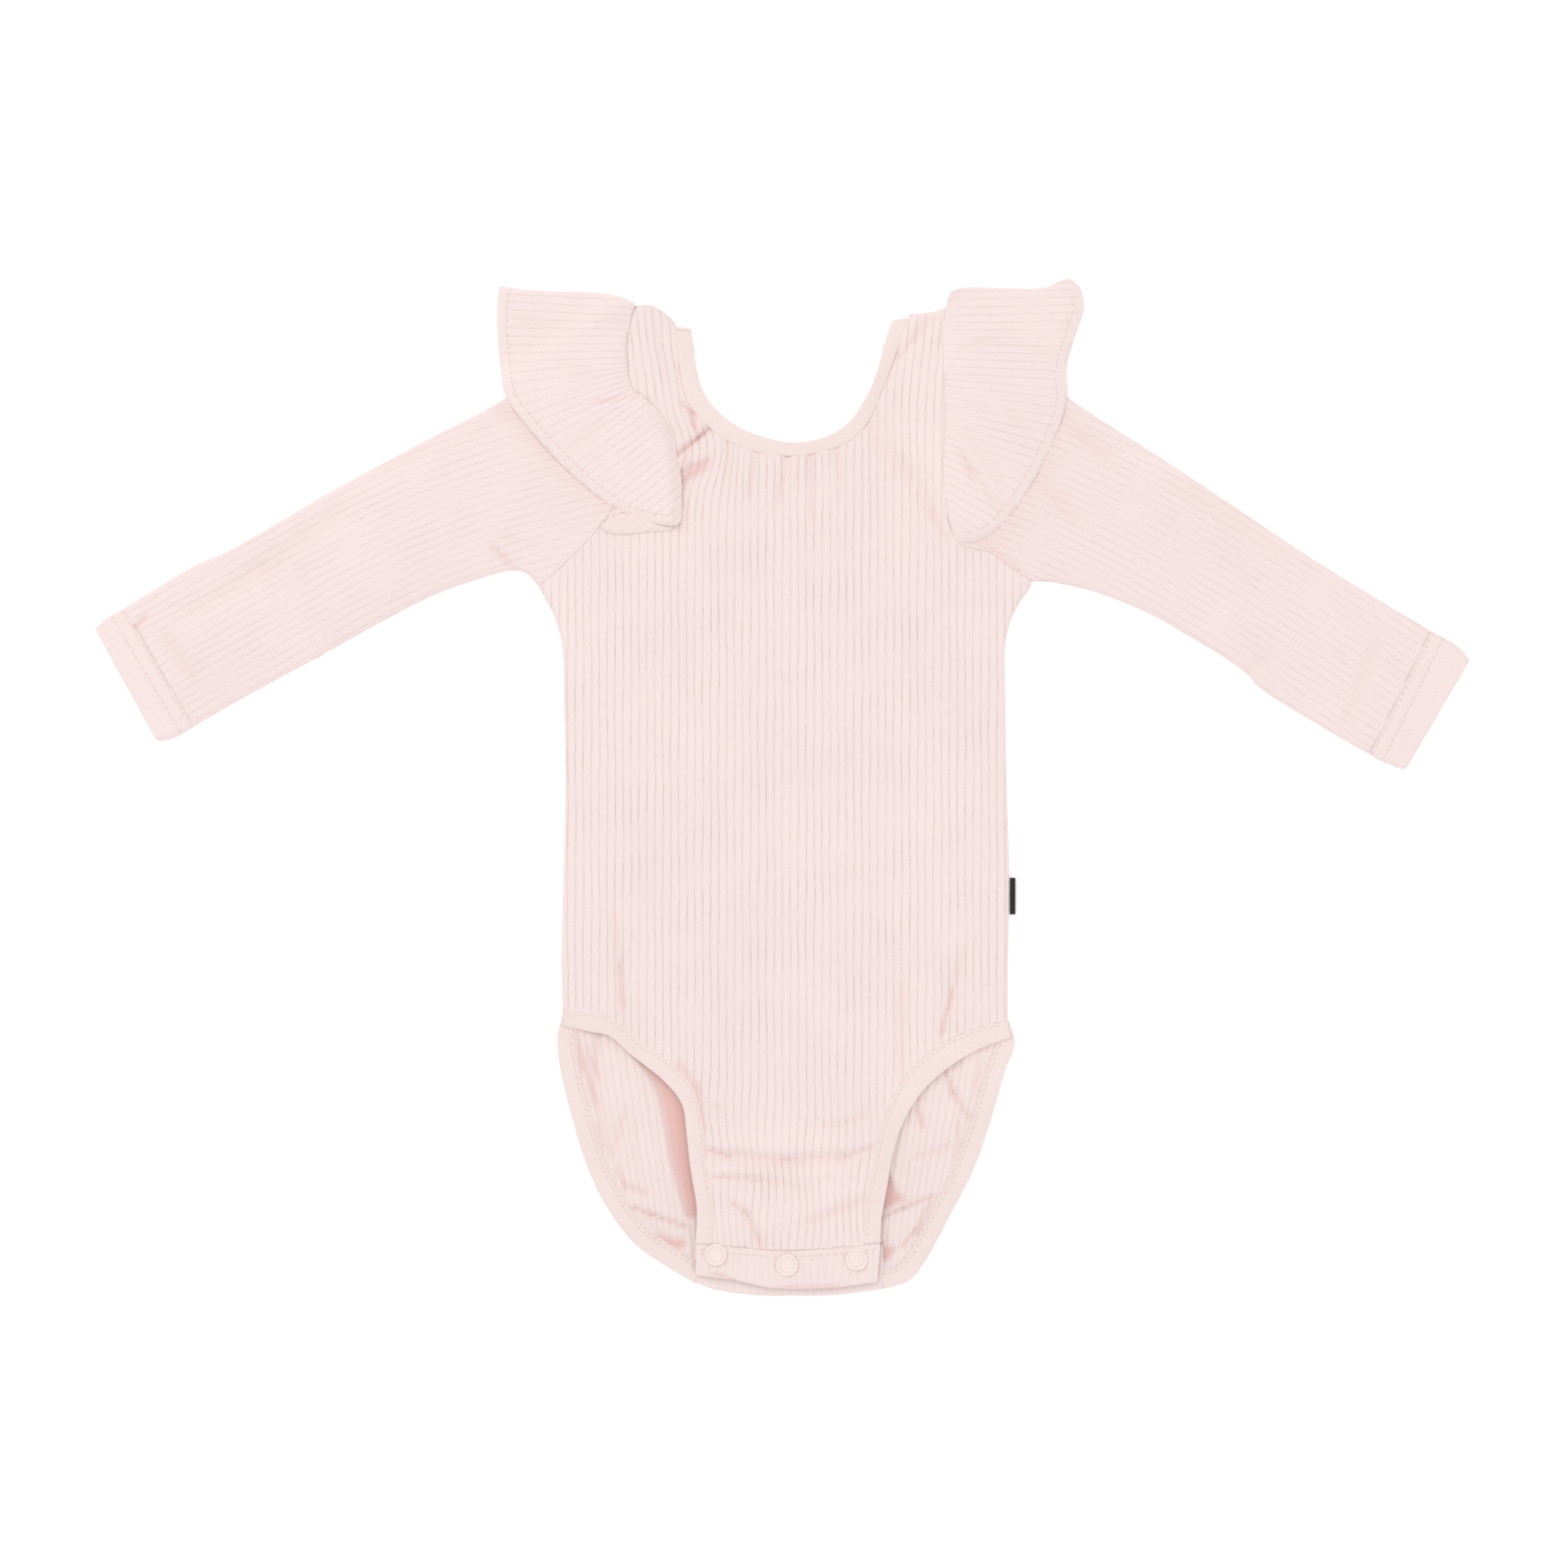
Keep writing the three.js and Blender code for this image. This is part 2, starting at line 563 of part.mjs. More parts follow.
// The back panel passes over the end of each leg band at the side seam, then follows the band
function backPanel() {
  const legs = Object.fromEntries(SIDES.map((side) => {
    const inner = backLegSeam(side, LEG_BAND_BACK + GAP / 2);
    inner[0].y += GAP;
    return [side, [vector(SIDE[side].at(-1)), ...inner]];
  }));
  const neck = aside(neckLine(NECK_SEAM, NECK_BACK_DROP), -GAP / 2);
  const patches = panelPatches(BACK_STEPS, neck, legs, straight);
  return sheet(patches, backUnder, (x, y) => backUnder(x, y) + CLOTH);
}

const middleHeight = {
  front: ({ x, y }, wall) => frontUnder(x, y) + wall / 2,
  back: ({ x, y }, wall) => backUnder(x, y) + wall / 2,
};

// Points of a half turn from one height to another, about a line moved out by the bend
function turn(point, outward, from, to) {
  const radius = Math.abs(from - to) / 2;
  const middle = (from + to) / 2;
  const start = Math.sign(from - to);
  return Array.from({ length: ARC_STEPS - 1 }, (_, k) => {
    const angle = (Math.PI * (k + 1)) / ARC_STEPS;
    const swung = point.clone().addScaledVector(outward, radius * Math.sin(angle));
    swung.z = middle + start * radius * Math.cos(angle);
    return swung;
  });
}

const raised = (point, z) => new THREE.Vector3(point.x, point.y, z);

// A flattened tube: each plan row becomes a ring of a front wall, a fold, a back wall and a fold
function tube(rows, wall) {
  const rings = rows.map((row) => {
    const front = row.map((point) => raised(point, middleHeight.front(point, wall)));
    const back = row.map((point) => raised(point, middleHeight.back(point, wall))).reverse();
    const first = row[0].clone().sub(row[1]).normalize();
    const last = row.at(-1).clone().sub(row.at(-2)).normalize();
    return [
      ...front,
      ...turn(row.at(-1), last, front.at(-1).z, back[0].z),
      ...back,
      ...turn(row[0], first, back.at(-1).z, front[0].z),
    ];
  });
  return shell(rings, wall, { loopColumns: true });
}

// The armhole of a sleeve has the same steps as the panels' armholes
function sleeveRows(side) {
  const sign = side === "left" ? 1 : -1;
  const split = NECK_LEVEL_ON_ARMHOLE[side];
  const armhole = aside([
    ...walk(ARMHOLE[side], STEPS.strap, 0, split),
    ...walk(ARMHOLE[side], STEPS.chest, split, 1).slice(1),
  ], (-sign * GAP) / 2);
  const [upper, lower] = ["upper", "lower"].map((edge) =>
    walk(SLEEVE[side][edge], SLEEVE_RINGS, 0, 1, RINGS_TOWARDS_ARMHOLE));
  const upperFold = aside(upper, sign * FOLD_REACH);
  const lowerFold = aside(lower, -sign * FOLD_REACH);
  const seamBack = armhole.at(-2).clone().sub(armhole.at(-1)).setLength(FOLD_REACH);
  armhole[0] = upperFold[0];
  armhole.at(-1).add(seamBack);
  lowerFold[0] = armhole.at(-1);
  const cuffRow = straight(upperFold.at(-1), lowerFold.at(-1), armhole.length - 1);
  return patch(upperFold, lowerFold, armhole, cuffRow);
}

function cuffRows(side) {
  const { upper, upperEnd, lower, lowerEnd } = CUFF[side];
  const sign = side === "left" ? 1 : -1;
  const above = aside(straight(vector(upper), vector(upperEnd), CUFF_RINGS), sign * FOLD_REACH);
  const below = aside(straight(vector(lower), vector(lowerEnd), CUFF_RINGS), -sign * FOLD_REACH);
  const seamRow = straight(above[0], below[0], CUFF_ACROSS);
  return patch(above, below, seamRow, straight(above.at(-1), below.at(-1), CUFF_ACROSS));
}

// How far a place lies past the upper edge of the sleeve on its side
function pastUpperEdge(x, y) {
  const side = x < 0 ? "left" : "right";
  const edge = side === "left" ? UPPER_EDGE.left.slice().reverse() : UPPER_EDGE.right;
  const end = edge[side === "left" ? edge.length - 1 : 0];
  const level = (side === "left" ? x > end.x : x < end.x) ? end.y : heightAt(edge, x);
  return y > level ? distanceTo(edge, x, y) : 0;
}

// Underside of a frill's front leaf: over the sleeve and the panel, and down past the sleeve's edge
function frillUnder(x, y) {
  const past = pastUpperEdge(x, y);
  const over = past > 0 ? LAYER + GAP : frontUnder(x, y) - lift(x, y);
  const drop = THREE.MathUtils.smoothstep(past, DRAPE_MARGIN, DRAPE_MARGIN + DRAPE_RUN);
  return lift(x, y) + (over + CLOTH + FRILL_CLEARANCE) * (1 - drop);
}

function frill(side) {
  const { fold, hem, root } = FRILL[side];
  const sign = side === "left" ? 1 : -1;
  const { down, across } = FRILL_STEPS;
  const rootLine = aside(walk(root, down), (-sign * GAP) / 2);
  const hemLine = walk(hem, down);
  const foldLine = walk(fold, across);
  rootLine[0] = foldLine[0];
  const front = patch(rootLine, hemLine, foldLine, straight(rootLine.at(-1), hemLine.at(-1), across));
  const onTop = (point) => raised(point, frillUnder(point.x, point.y) + CLOTH / 2);
  const frontLeaf = front.map((row) => row.map(onTop));
  const low = CLOTH / 2;
  for (const point of frontLeaf[0]) point.y -= (point.z - low) / 2 + low;
  const up = new THREE.Vector3(0, 1, 0);
  const turned = frontLeaf[0].map((point) => turn(point, up, point.z, low));
  const bend = turned[0].map((_, k) => turned.map((points) => points[k]));
  const leaf = BACK_LEAF[side];
  const backRoot = aside(leaf.root, (-sign * GAP) / 2);
  const top = frontLeaf[0].map((point) => raised(point, 0));
  const end = straight(backRoot.at(-1), leaf.hem.at(-1), across);
  backRoot[0] = top[0];
  const backHem = [top.at(-1), ...leaf.hem.slice(1)];
  const backLeaf = patch(backRoot, backHem, top, end).map((row) => row.map((point) => raised(point, low)));
  return shell([...frontLeaf.reverse(), ...bend, ...backLeaf], CLOTH);
}

// The neck band is one ring, folded over at both shoulders
function neckBand() {
  const along = (drop, height) => {
    const seam = aside(neckLine(NECK_SEAM, drop), GAP / 2);
    const edge = neckLine(NECK_EDGE, drop);
    for (const line of [seam, edge]) {
      line[0].add(line[1].clone().sub(line[0]).setLength(FOLD_REACH));
      line.at(-1).add(line.at(-2).clone().sub(line.at(-1)).setLength(FOLD_REACH));
    }
    return seam.map((point, i) => [point, edge[i]].map((place) => raised(place, height(place, BAND))));
  };
  const front = along(0, middleHeight.front);
  const back = along(NECK_BACK_DROP, middleHeight.back).reverse();
  const over = (before, at, after) => {
    const outward = raised(at[0], 0).sub(raised(before[0], 0)).normalize();
    const turned = at.map((point, j) => turn(raised(point, 0), outward, point.z, after[j].z));
    return turned[0].map((_, k) => turned.map((points) => points[k]));
  };
  const rightFold = over(front.at(-2), front.at(-1), back[0]);
  const leftFold = over(back.at(-2), back.at(-1), front[0]);
  return shell([...front, ...rightFold, ...back, ...leftFold], BAND, { loopRows: true });
}

function strip(a, b) {
  return a.map((point, i) => [point, mix(point, b[i], 0.5), b[i]]);
}

function frontLegBand(side) {
  const seam = frontLegSeam(side, -GAP / 2);
  const edge = walk(FRONT_LEG[side].edge, STEPS.crotch);
  edge[STEPS.crotch] = onBandTop(edge[STEPS.crotch]);
  return sheet([strip(seam, edge)], frontUnder, (x, y) => frontUnder(x, y) + BAND);
}

function backLegBand(side) {
  const edge = walk(BACK_LEG[side], BACK_STEPS.crotch - 1);
  const seam = backLegSeam(side, LEG_BAND_BACK - GAP / 2);
  return sheet([strip(edge, seam)], backUnder, (x, y) => backUnder(x, y) + BAND);
}

function frontBand() {
  const top = bandTop.map(({ x, y }) => new THREE.Vector3(x, y - GAP / 2, 0));
  const bottom = walk(FRONT_BAND.bottom, BAND_COLUMNS);
  const left = straight(top[0], bottom[0], BAND_ROWS);
  const right = straight(top.at(-1), bottom.at(-1), BAND_ROWS);
  return sheet([patch(left, right, top, bottom)], frontUnder, (x, y) => frontUnder(x, y) + BAND);
}

// The back's flap: on from the back panel, round the fold, and up under the front
function backFlap() {
  const ends = SIDES.map((side) => {
    const seam = backLegSeam(side, LEG_BAND_BACK - GAP / 2).at(-1);
    seam.x += side === "left" ? GAP : -GAP;
    return seam;
  });
  const fold = walk(FLAP.fold, BAND_COLUMNS);
  const low = CLOTH / 2;
  const high = BAND + GAP + CLOTH / 2;
  const reach = (high - low) / 2 + CLOTH / 2;
  const seamRow = straight(...ends, BAND_COLUMNS).map((point) => new THREE.Vector3(point.x, point.y - GAP, low));
  const foldRow = fold.map(({ x, y }) => new THREE.Vector3(x, y + reach, low));
  const up = new THREE.Vector3(0, -1, 0);
  const turned = foldRow.map((point) => turn(point, up, low, high));
  const bend = turned[0].map((_, k) => turned.map((points) => points[k]));
  const upper = [0, 0.5, 1].map((t) =>
    foldRow.map(({ x, y }) => new THREE.Vector3(x, y + t * FLAP.reach, high)));
  return shell([seamRow, foldRow, ...bend, ...upper], CLOTH);
}

function snap({ x, y }) {
  const radius = SNAP_DIAMETER / 2;
  const profile = [
    [0, 0],
    [radius, 0],
    [radius, SNAP_HEIGHT - SNAP_ROUNDING],
    [radius - SNAP_ROUNDING, SNAP_HEIGHT],
    [0, SNAP_HEIGHT],
  ].map(([across, up]) => new THREE.Vector2(across, up));
  const cap = new THREE.LatheGeometry(profile, SNAP_SEGMENTS).rotateX(Math.PI / 2);
  const rim = new THREE.Path().absarc(x, y, radius, 0, 2 * Math.PI).getPoints(SNAP_SEGMENTS);
  const tops = rim.map((place) => frontUnder(place.x, place.y));
  return cap.translate(x, y, Math.max(...tops, frontUnder(x, y)) + BAND + SNAP_SEAT);
}

// A folded tab: two plies that meet in a round fold at its outer edge
function sideLabel() {
  const { x, y, z, width, height, wall } = LABEL;
  const outline = new THREE.Shape();
  outline.moveTo(0, -wall / 2);
  outline.lineTo(width - wall / 2, -wall / 2);
  outline.absarc(width - wall / 2, 0, wall / 2, -Math.PI / 2, Math.PI / 2);
  outline.lineTo(0, wall / 2);
  outline.closePath();
  const tab = new THREE.ExtrudeGeometry(outline, { depth: height, bevelEnabled: false, curveSegments: 6 });
  return tab.rotateX(Math.PI / 2).translate(x, y + height / 2, z);
}

function mesh(name, geometry, material) {
  const piece = new THREE.Mesh(geometry, material);
  piece.name = name;
  return piece;
}

const finish = (name, color, roughness) => new THREE.MeshStandardMaterial({ name, color, roughness, metalness: 0 });
const ribKnit = finish("pink_rib_knit", 0xf4e2df, 0.92);
const smoothKnit = finish("pink_smooth_knit", 0xefe0da, 0.9);
const snapPlastic = finish("pink_snap_plastic", 0xf3e0dc, 0.45);
const labelTape = finish("black_label_tape", 0x161616, 0.8);

const bodysuit = new THREE.Group();
bodysuit.name = "baby_bodysuit";
bodysuit.add(mesh("back_panel", backPanel(), ribKnit));
bodysuit.add(mesh("front_panel", frontPanel(), ribKnit));
for (const side of SIDES) {
  bodysuit.add(mesh(`sleeve_${side}`, tube(sleeveRows(side), CLOTH), ribKnit));
  bodysuit.add(mesh(`cuff_${side}`, tube(cuffRows(side), CLOTH), ribKnit));
  bodysuit.add(mesh(`frill_${side}`, frill(side), ribKnit));
  bodysuit.add(mesh(`leg_band_front_${side}`, frontLegBand(side), smoothKnit));
  bodysuit.add(mesh(`leg_band_back_${side}`, backLegBand(side), smoothKnit));
}
bodysuit.add(mesh("neck_band", neckBand(), smoothKnit));
bodysuit.add(mesh("snap_band_front", frontBand(), ribKnit));
bodysuit.add(mesh("crotch_flap_back", backFlap(), ribKnit));
SNAPS.forEach((place, i) => bodysuit.add(mesh(`snap_${i + 1}`, snap(place), snapPlastic)));
bodysuit.add(mesh("side_label", sideLabel(), labelTape));

export default bodysuit;
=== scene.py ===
"""Baby bodysuit in pale pink rib knit, laid flat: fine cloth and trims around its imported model."""

import math

import bpy
import numpy as np
from mathutils.bvhtree import BVHTree
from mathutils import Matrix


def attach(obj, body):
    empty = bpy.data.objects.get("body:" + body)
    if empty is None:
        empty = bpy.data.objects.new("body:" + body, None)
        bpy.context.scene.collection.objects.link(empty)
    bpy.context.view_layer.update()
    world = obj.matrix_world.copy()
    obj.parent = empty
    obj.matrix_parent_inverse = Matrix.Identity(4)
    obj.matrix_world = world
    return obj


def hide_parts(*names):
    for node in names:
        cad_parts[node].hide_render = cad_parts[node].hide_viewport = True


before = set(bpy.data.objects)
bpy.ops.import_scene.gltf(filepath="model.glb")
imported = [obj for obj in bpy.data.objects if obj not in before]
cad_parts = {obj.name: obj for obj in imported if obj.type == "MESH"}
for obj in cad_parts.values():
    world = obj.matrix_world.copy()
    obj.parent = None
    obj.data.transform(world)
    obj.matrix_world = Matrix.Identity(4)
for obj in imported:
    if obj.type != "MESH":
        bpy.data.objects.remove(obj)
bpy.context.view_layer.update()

# All sizes are in millimetres, in the frame's axes, until a mesh is made
TO_METRES = 0.001

# Cloth and its rise off the floor
CLOTH = 1.2
BAND = 1.5
GAP = 0.3
LAYER = CLOTH + GAP
PUFF_RISE = 2.4
PUFF_RUN = 16
HELD_PUFF = 0.6
FLAP_LIFT_FROM, FLAP_LIFT_TO = -182, -199
LIFT_MARGIN, LIFT_RUN = 11, 14
DRAPE_MARGIN, DRAPE_RUN = 4, 11
FRILL_CLEARANCE = 0.6
BAND_LAP = 0.25
BACK_LEAF_INSET = 6
NECK_BACK_DROP = 2
SEAM_OPENING = 0.02
CLOSED_ROLL = 1.7
FRILL_ROLL = 3.4
BULGE_ROLL = 4.4

# Rib knit: one rib and its groove
RIB_PITCH = 3.53
RIB_DEPTH = 0.34
GROOVE_WIDTH = 0.38
RIB_FADE = 1.2

# Walls and folded edges
FOLD_CLEAR = 1.5
THINNEST = 0.03
FRILL_THINNEST = 0.05
MIDDLE_GAP = 0.02
ROOT_OVERLAP = 0.6

# Folds of the tables: how they fade past their ends, their soft shoulders, and how much narrower their
# painted shade is than their trough
FADE_PER_WIDTH, FADE_PER_LENGTH = 1.4, 0.08
SHOULDER_AT, SHOULDER_REACH = 2.1, 1.1
DEEPEST_CREASE = 2.6
PAINTED_SHADE_NARROWER = 1.15

# Creases of the hidden sides: those of the shown side, moved and made shallower
HIDDEN_MOVE = (6.0, -9.0)
HIDDEN_SHARE = 0.55
HIDDEN_DEEPEST = 0.5

# The back where the leg openings show it, and the front where the crotch holds it down
BACK_RISE = 1.4
BACK_SHOWN_FROM, BACK_SHOWN_TO = 96, 112
HELD_FROM, HELD_TO = -172, -216

# How strongly the ribs stand out, against 1 on the front, and over what run they end at a seam
SLEEVE_RELIEF, CUFF_RELIEF, FRILL_RELIEF, HEM_UNDER_RELIEF = 0.6, 0.2, 0.62, 0.3
SNAP_BAND_RELIEF, FLAP_RELIEF = 0.4, 0.6
RIB_END = 0.1
LEAST_RELIEF, MEAN_RELIEF, MOST_RELIEF = 0.4, 0.82, 1.15

# Where the front's edge meets the frill's root, from and to
MEETS_FRILL = {"left": (174, 180), "right": (116, 126)}

# How pink the painted shade in the back's creases and hollows is, and how far into a hollow its painted shade
# and its ribs run
CREASE_SHADE_PINK, HOLLOW_SHADE_PINK = 0.75, 0.8
HOLLOW_SHADE_RUN, HOLLOW_RIB_RUN = 4.2, 1.0

# Frill: how it is sewn down at its root, how its hem thins, the painted shade along its root seam, and the
# painted shadow of its hem on the sleeve
SEWN_REACH = 3.2
HEM_THINNING, HEM_THINNING_RUN = 0.8, 2.4
ROOT_SEAM_SHADE = 0.16
UNDER_HEM_SHADOW, UNDER_HEM_SHADOW_REACH = 0.12, 6

# Snap band: how its edges and its seam thin, and the hollow round a snap
BAND_EDGE, BAND_SEAM_EDGE, BAND_EDGE_RUN = 0.8, 0.12, 2.0
DIMPLE_DEPTH, DIMPLE_RADIUS, DIMPLE_RUN = 0.3, 4.4, 1.6

# Seeds of the slow waves
FRONT_WAVES, FRONT_RIB_WAVES, SLEEVE_RIB_WAVES, FRILL_RIB_WAVES = 3, 5, 8, 11

# Where stitches run, from the seam or edge that they follow
HEM_STITCH = 4.4
CUFF_STITCHES = (1.1, 6.2)
FRONT_BAND_STITCH = 1.1
BACK_BAND_STITCHES = (6.4, 8.0)
SNAP_BAND_STITCH = 2.6
SNAP_BAND_GROOVE = 4.0
STITCH_PROUD = 0.00002

# Bindings: a rounded strip
BAND_PROFILE_POINTS = 22
BAND_STEP = 1.6
BAND_CROWN = 0.25
BAND_END = 0.7

SNAP_SIZE = {"radius": 5.0, "height": 1.18, "ring": 3.3, "well": 2.2, "sunk": 0.35}
SNAP_TURNS = 56

# Ridges along lines: height, distance from the line, reach; a groove is taken away
SEAM_GROOVE = (0.15, 0, 0.9)
FRILL_SEAM_RIDGE = (0.2, 0, 2.4)
CUFF_GROOVE = (0.25, CUFF_STITCHES[1], 0.9)
BAND_GROOVE = (0.1, 1.6, 0.5)
HEM_RIDGE = (0.4, 2.6, 1.8)
HEM_GROOVE = (0.25, HEM_STITCH, 0.8)
HEM_ROLL = (0.55, 0, 3.5)
HEM_SETTLE = (0.54, 0, 5)
ROOT_BULGE = (1.7, 5.5, 7)
SNAP_BAND_SEAM = (0.2, 0, 0.7)

# Mesh: columns within a rib as fractions of its pitch, columns from and to, and rows
RIB_COLUMNS = (0.0, 0.09, 0.36, 0.64, 0.91)
OUTLINE_STEP = 1.2
SPLINE_STEPS = 25
BODY_COLUMNS = (-120, 122)
TUBE_COLUMNS = (-70, 70)
SNAP_BAND_COLUMNS = (-45, 50)
SNAP_BAND_ROWS = (-226, -198, 0.9)
FRILL_ROWS = (-64, 64)
SLEEVE_ROW_STEP, CUFF_ROW_STEP = 2.0, 0.9

# Slow bends of every rib: how far, turn per millimetre along it and across it, phase
RIB_BENDS = ((0.2, 0.071, 0.31, 0), (0.1, 0.17, 0.12, 2), (0.06, 0.43, 0.21, 0))

ARMHOLE = {
    "left": [(-65, 213.5), (-67.5, 207), (-69, 195), (-68, 181.5), (-66.5, 172), (-68, 152),
             (-72, 133), (-76, 121.5), (-82, 114), (-95, 100.5), (-108.5, 89)],
    "right": [(73.5, 213), (71.5, 205), (71.5, 192), (72.5, 178), (72.5, 160), (72, 143),
              (72.5, 127), (74.5, 114), (80, 107), (92, 104), (101.5, 97.5), (111.5, 91)],
}
SHOULDER = {
    "left": [(-65, 213.5), (-60, 214), (-55, 212.5), (-47.5, 206.5)],
    "right": [(56.5, 210), (62, 210.3), (68, 211), (73.5, 213)],
}
NECK_EDGE = [(-41, 205.5), (-39.5, 196), (-38, 185), (-34, 173), (-22.5, 161.5), (-11, 156),
             (4, 152.8), (19.5, 155.4), (29, 161.3), (37, 172.7), (42.2, 185), (45.2, 197), (49.3, 209)]
NECK_SEAM = [(-47.5, 206.5), (-46, 192), (-44.5, 180), (-41, 169.5), (-30, 157.5), (-22, 152.5),
             (-10, 148.5), (4, 147), (20, 149.5), (31, 154.5), (38.5, 163), (44.5, 177), (50, 192),
             (56.5, 210.2)]
SIDE = {
    "left": [(-108.3, 88.5), (-101.5, 76), (-98, 63), (-97, 35), (-96.5, 0), (-97.7, -50),
             (-98.3, -80), (-97.6, -101)],
    "right": [(111.3, 90.4), (102.3, 76), (99, 63), (99, 45), (99.5, 5), (100.7, -35),
              (100.2, -85), (100.2, -104)],
}
FRONT_LEG_SEAM = {
    "left": [(-97.6, -101), (-84, -100.5), (-73, -105.5), (-62, -114.5), (-47, -125), (-39, -135.5),
             (-35.5, -149), (-34.5, -165), (-31.5, -185), (-31, -203)],
    "right": [(100.2, -104), (84, -108), (70, -115), (57, -126), (48.5, -140), (43.5, -155),
              (40.5, -170), (37.5, -186), (36.5, -203)],
}
FRONT_LEG_EDGE = {
    "left": [(-98, -106), (-86, -108.5), (-77, -110.5), (-67, -119), (-52, -131), (-44.5, -141),
             (-42.5, -154), (-41, -168), (-38, -187), (-38.5, -202.5)],
    "right": [(102, -111), (88, -116), (75, -123.5), (63, -134), (54.5, -147), (49.5, -161),
              (46.5, -177), (44, -191), (43.5, -202)],
}
BACK_LEG_EDGE = {
    "left": [(-97.8, -101.7), (-100, -112), (-98.5, -126), (-94.5, -143), (-88, -165), (-79.5, -184),
             (-66, -202.5), (-51, -213.2), (-38.5, -220.4)],
    "right": [(100.6, -104.7), (103.3, -113.5), (99, -126), (92.5, -148), (85, -169.5), (74, -191),
              (62.8, -211.5), (56, -219.4), (44.5, -223)],
}
BACK_LEG_BAND = 8.8
SNAP_BAND_TOP = [(-38.5, -202), (-20, -204), (2, -205.5), (27, -204), (43.5, -202)]
SNAP_BAND_BOTTOM = [(-38.5, -216.5), (-22, -218.5), (-5, -222), (22, -222), (42, -219.5)]
FLAP_FOLD = [(-38.6, -220.4), (-29, -223.5), (-10, -226), (6, -226.1), (22, -225.9), (36, -224.3),
             (44.8, -223)]
FLAP_REACH = 19
SNAPS = [(-29.5, -207.2), (2, -211.8), (32.8, -209.4)]
SLEEVE_UPPER = {
    "left": [(-69.8, 208.8), (-95, 190), (-122.5, 172.5), (-154.5, 156), (-197.5, 133), (-237, 110),
             (-249, 103.5), (-261, 98.5), (-292.5, 79.5)],
    "right": [(73.5, 206.5), (100, 190), (127.5, 172), (161.5, 150.5), (196.5, 127.5), (231.5, 104),
              (266, 82.5), (288, 69.5)],
}
SLEEVE_LOWER = {
    "left": [(-109, 89.5), (-113, 94.3), (-119, 96.2), (-135, 92.3), (-154.5, 85.3), (-176, 74.4),
             (-208.5, 56.4), (-241, 38.7), (-261.2, 27)],
    "right": [(111.7, 91.3), (121, 90.7), (142.5, 85.4), (164, 76.4), (179.5, 67.6), (196.5, 57.3),
              (206, 50.4), (212, 44), (240, 26.4), (260.7, 14.4)],
}
CUFF_UPPER = {"left": [(-292.5, 79.5), (-301, 74.5), (-305, 70.5)],
              "right": [(288, 69.5), (296, 65.2), (301.5, 61.2), (305, 56.8)]}
CUFF_LOWER = {"left": [(-261.2, 27), (-264, 25), (-270, 21.8), (-277, 20)],
              "right": [(260.7, 14.4), (266, 11.5), (276, 7.6)]}
FRILL_FOLD = {
    "left": [(-65.7, 214.5), (-70, 217), (-77, 218.9), (-88, 220), (-102, 220.3), (-117, 221.3),
             (-126, 222.5)],
    "right": [(75, 219.6), (79, 221.6), (86, 222), (101, 221.5), (117, 222), (127, 226), (132.6, 221.5)],
}
FRILL_HEM = {
    "left": [(-126, 222.5), (-126.8, 208), (-125, 185), (-122.5, 173), (-114.5, 161.5), (-97, 142),
             (-79, 126.5), (-68, 119.7), (-59, 117), (-47.5, 115.2)],
    "right": [(132.6, 221.5), (133.9, 213), (129.3, 198), (125.5, 184), (126, 171), (120, 153),
              (108.5, 131), (97, 116), (87, 109), (77, 108)],
}
FRILL_ROOT = {
    "left": [(-65.7, 214.5), (-69, 200), (-69, 190), (-67, 177), (-60.5, 171.5), (-52, 161),
             (-46, 142), (-45, 128), (-45.3, 117.5)],
    "right": [(75, 219.6), (71.7, 205), (72, 184), (72.5, 160), (71.5, 141), (73.5, 121), (77, 109.5)],
}
LABEL = {"x": 101.1, "y": -48.5, "z": 1.2, "width": 2.4, "height": 16.2, "wall": 1.1}

# The small turned corner of the left frill's underside, below its hem
HEM_UNDERSIDE = [(-72, 121.5), (-78, 118), (-81, 116), (-79.5, 113.6), (-76.5, 112.4), (-69, 111.8),
                 (-60, 113), (-48.5, 114.4), (-50, 118.5), (-60, 120), (-72, 121.5)]

# Lines that the ribs follow, or for a frill cross, and the middle of what they cover
SLEEVE_GRAIN = {
    "left": [(-300, 40), (-283, 49.5), (-239, 74), (-196, 98), (-160, 115.5), (-124, 128.5), (-88, 138),
             (-50, 146)],
    "right": [(40, 152), (78, 143), (112, 131.5), (150, 114.5), (190, 92), (230, 67), (274, 39),
              (300, 22)],
}
FRILL_GRAIN = {
    "left": [(-95, 235), (-95, 222), (-96, 200), (-95, 180), (-89, 163), (-77, 145), (-62, 126),
             (-49, 109)],
    "right": [(101, 238), (101, 222), (101.5, 192), (100, 170), (95, 149), (86, 129), (75, 111),
              (66, 99)],
}


def rows_of(text):
    """A table written as lines of numbers: x1 y1 x2 y2 height width pink, where pink is the strength of
    painted shade.
    """
    return [tuple(float(word) for word in line.split()) for line in text.strip().splitlines()]
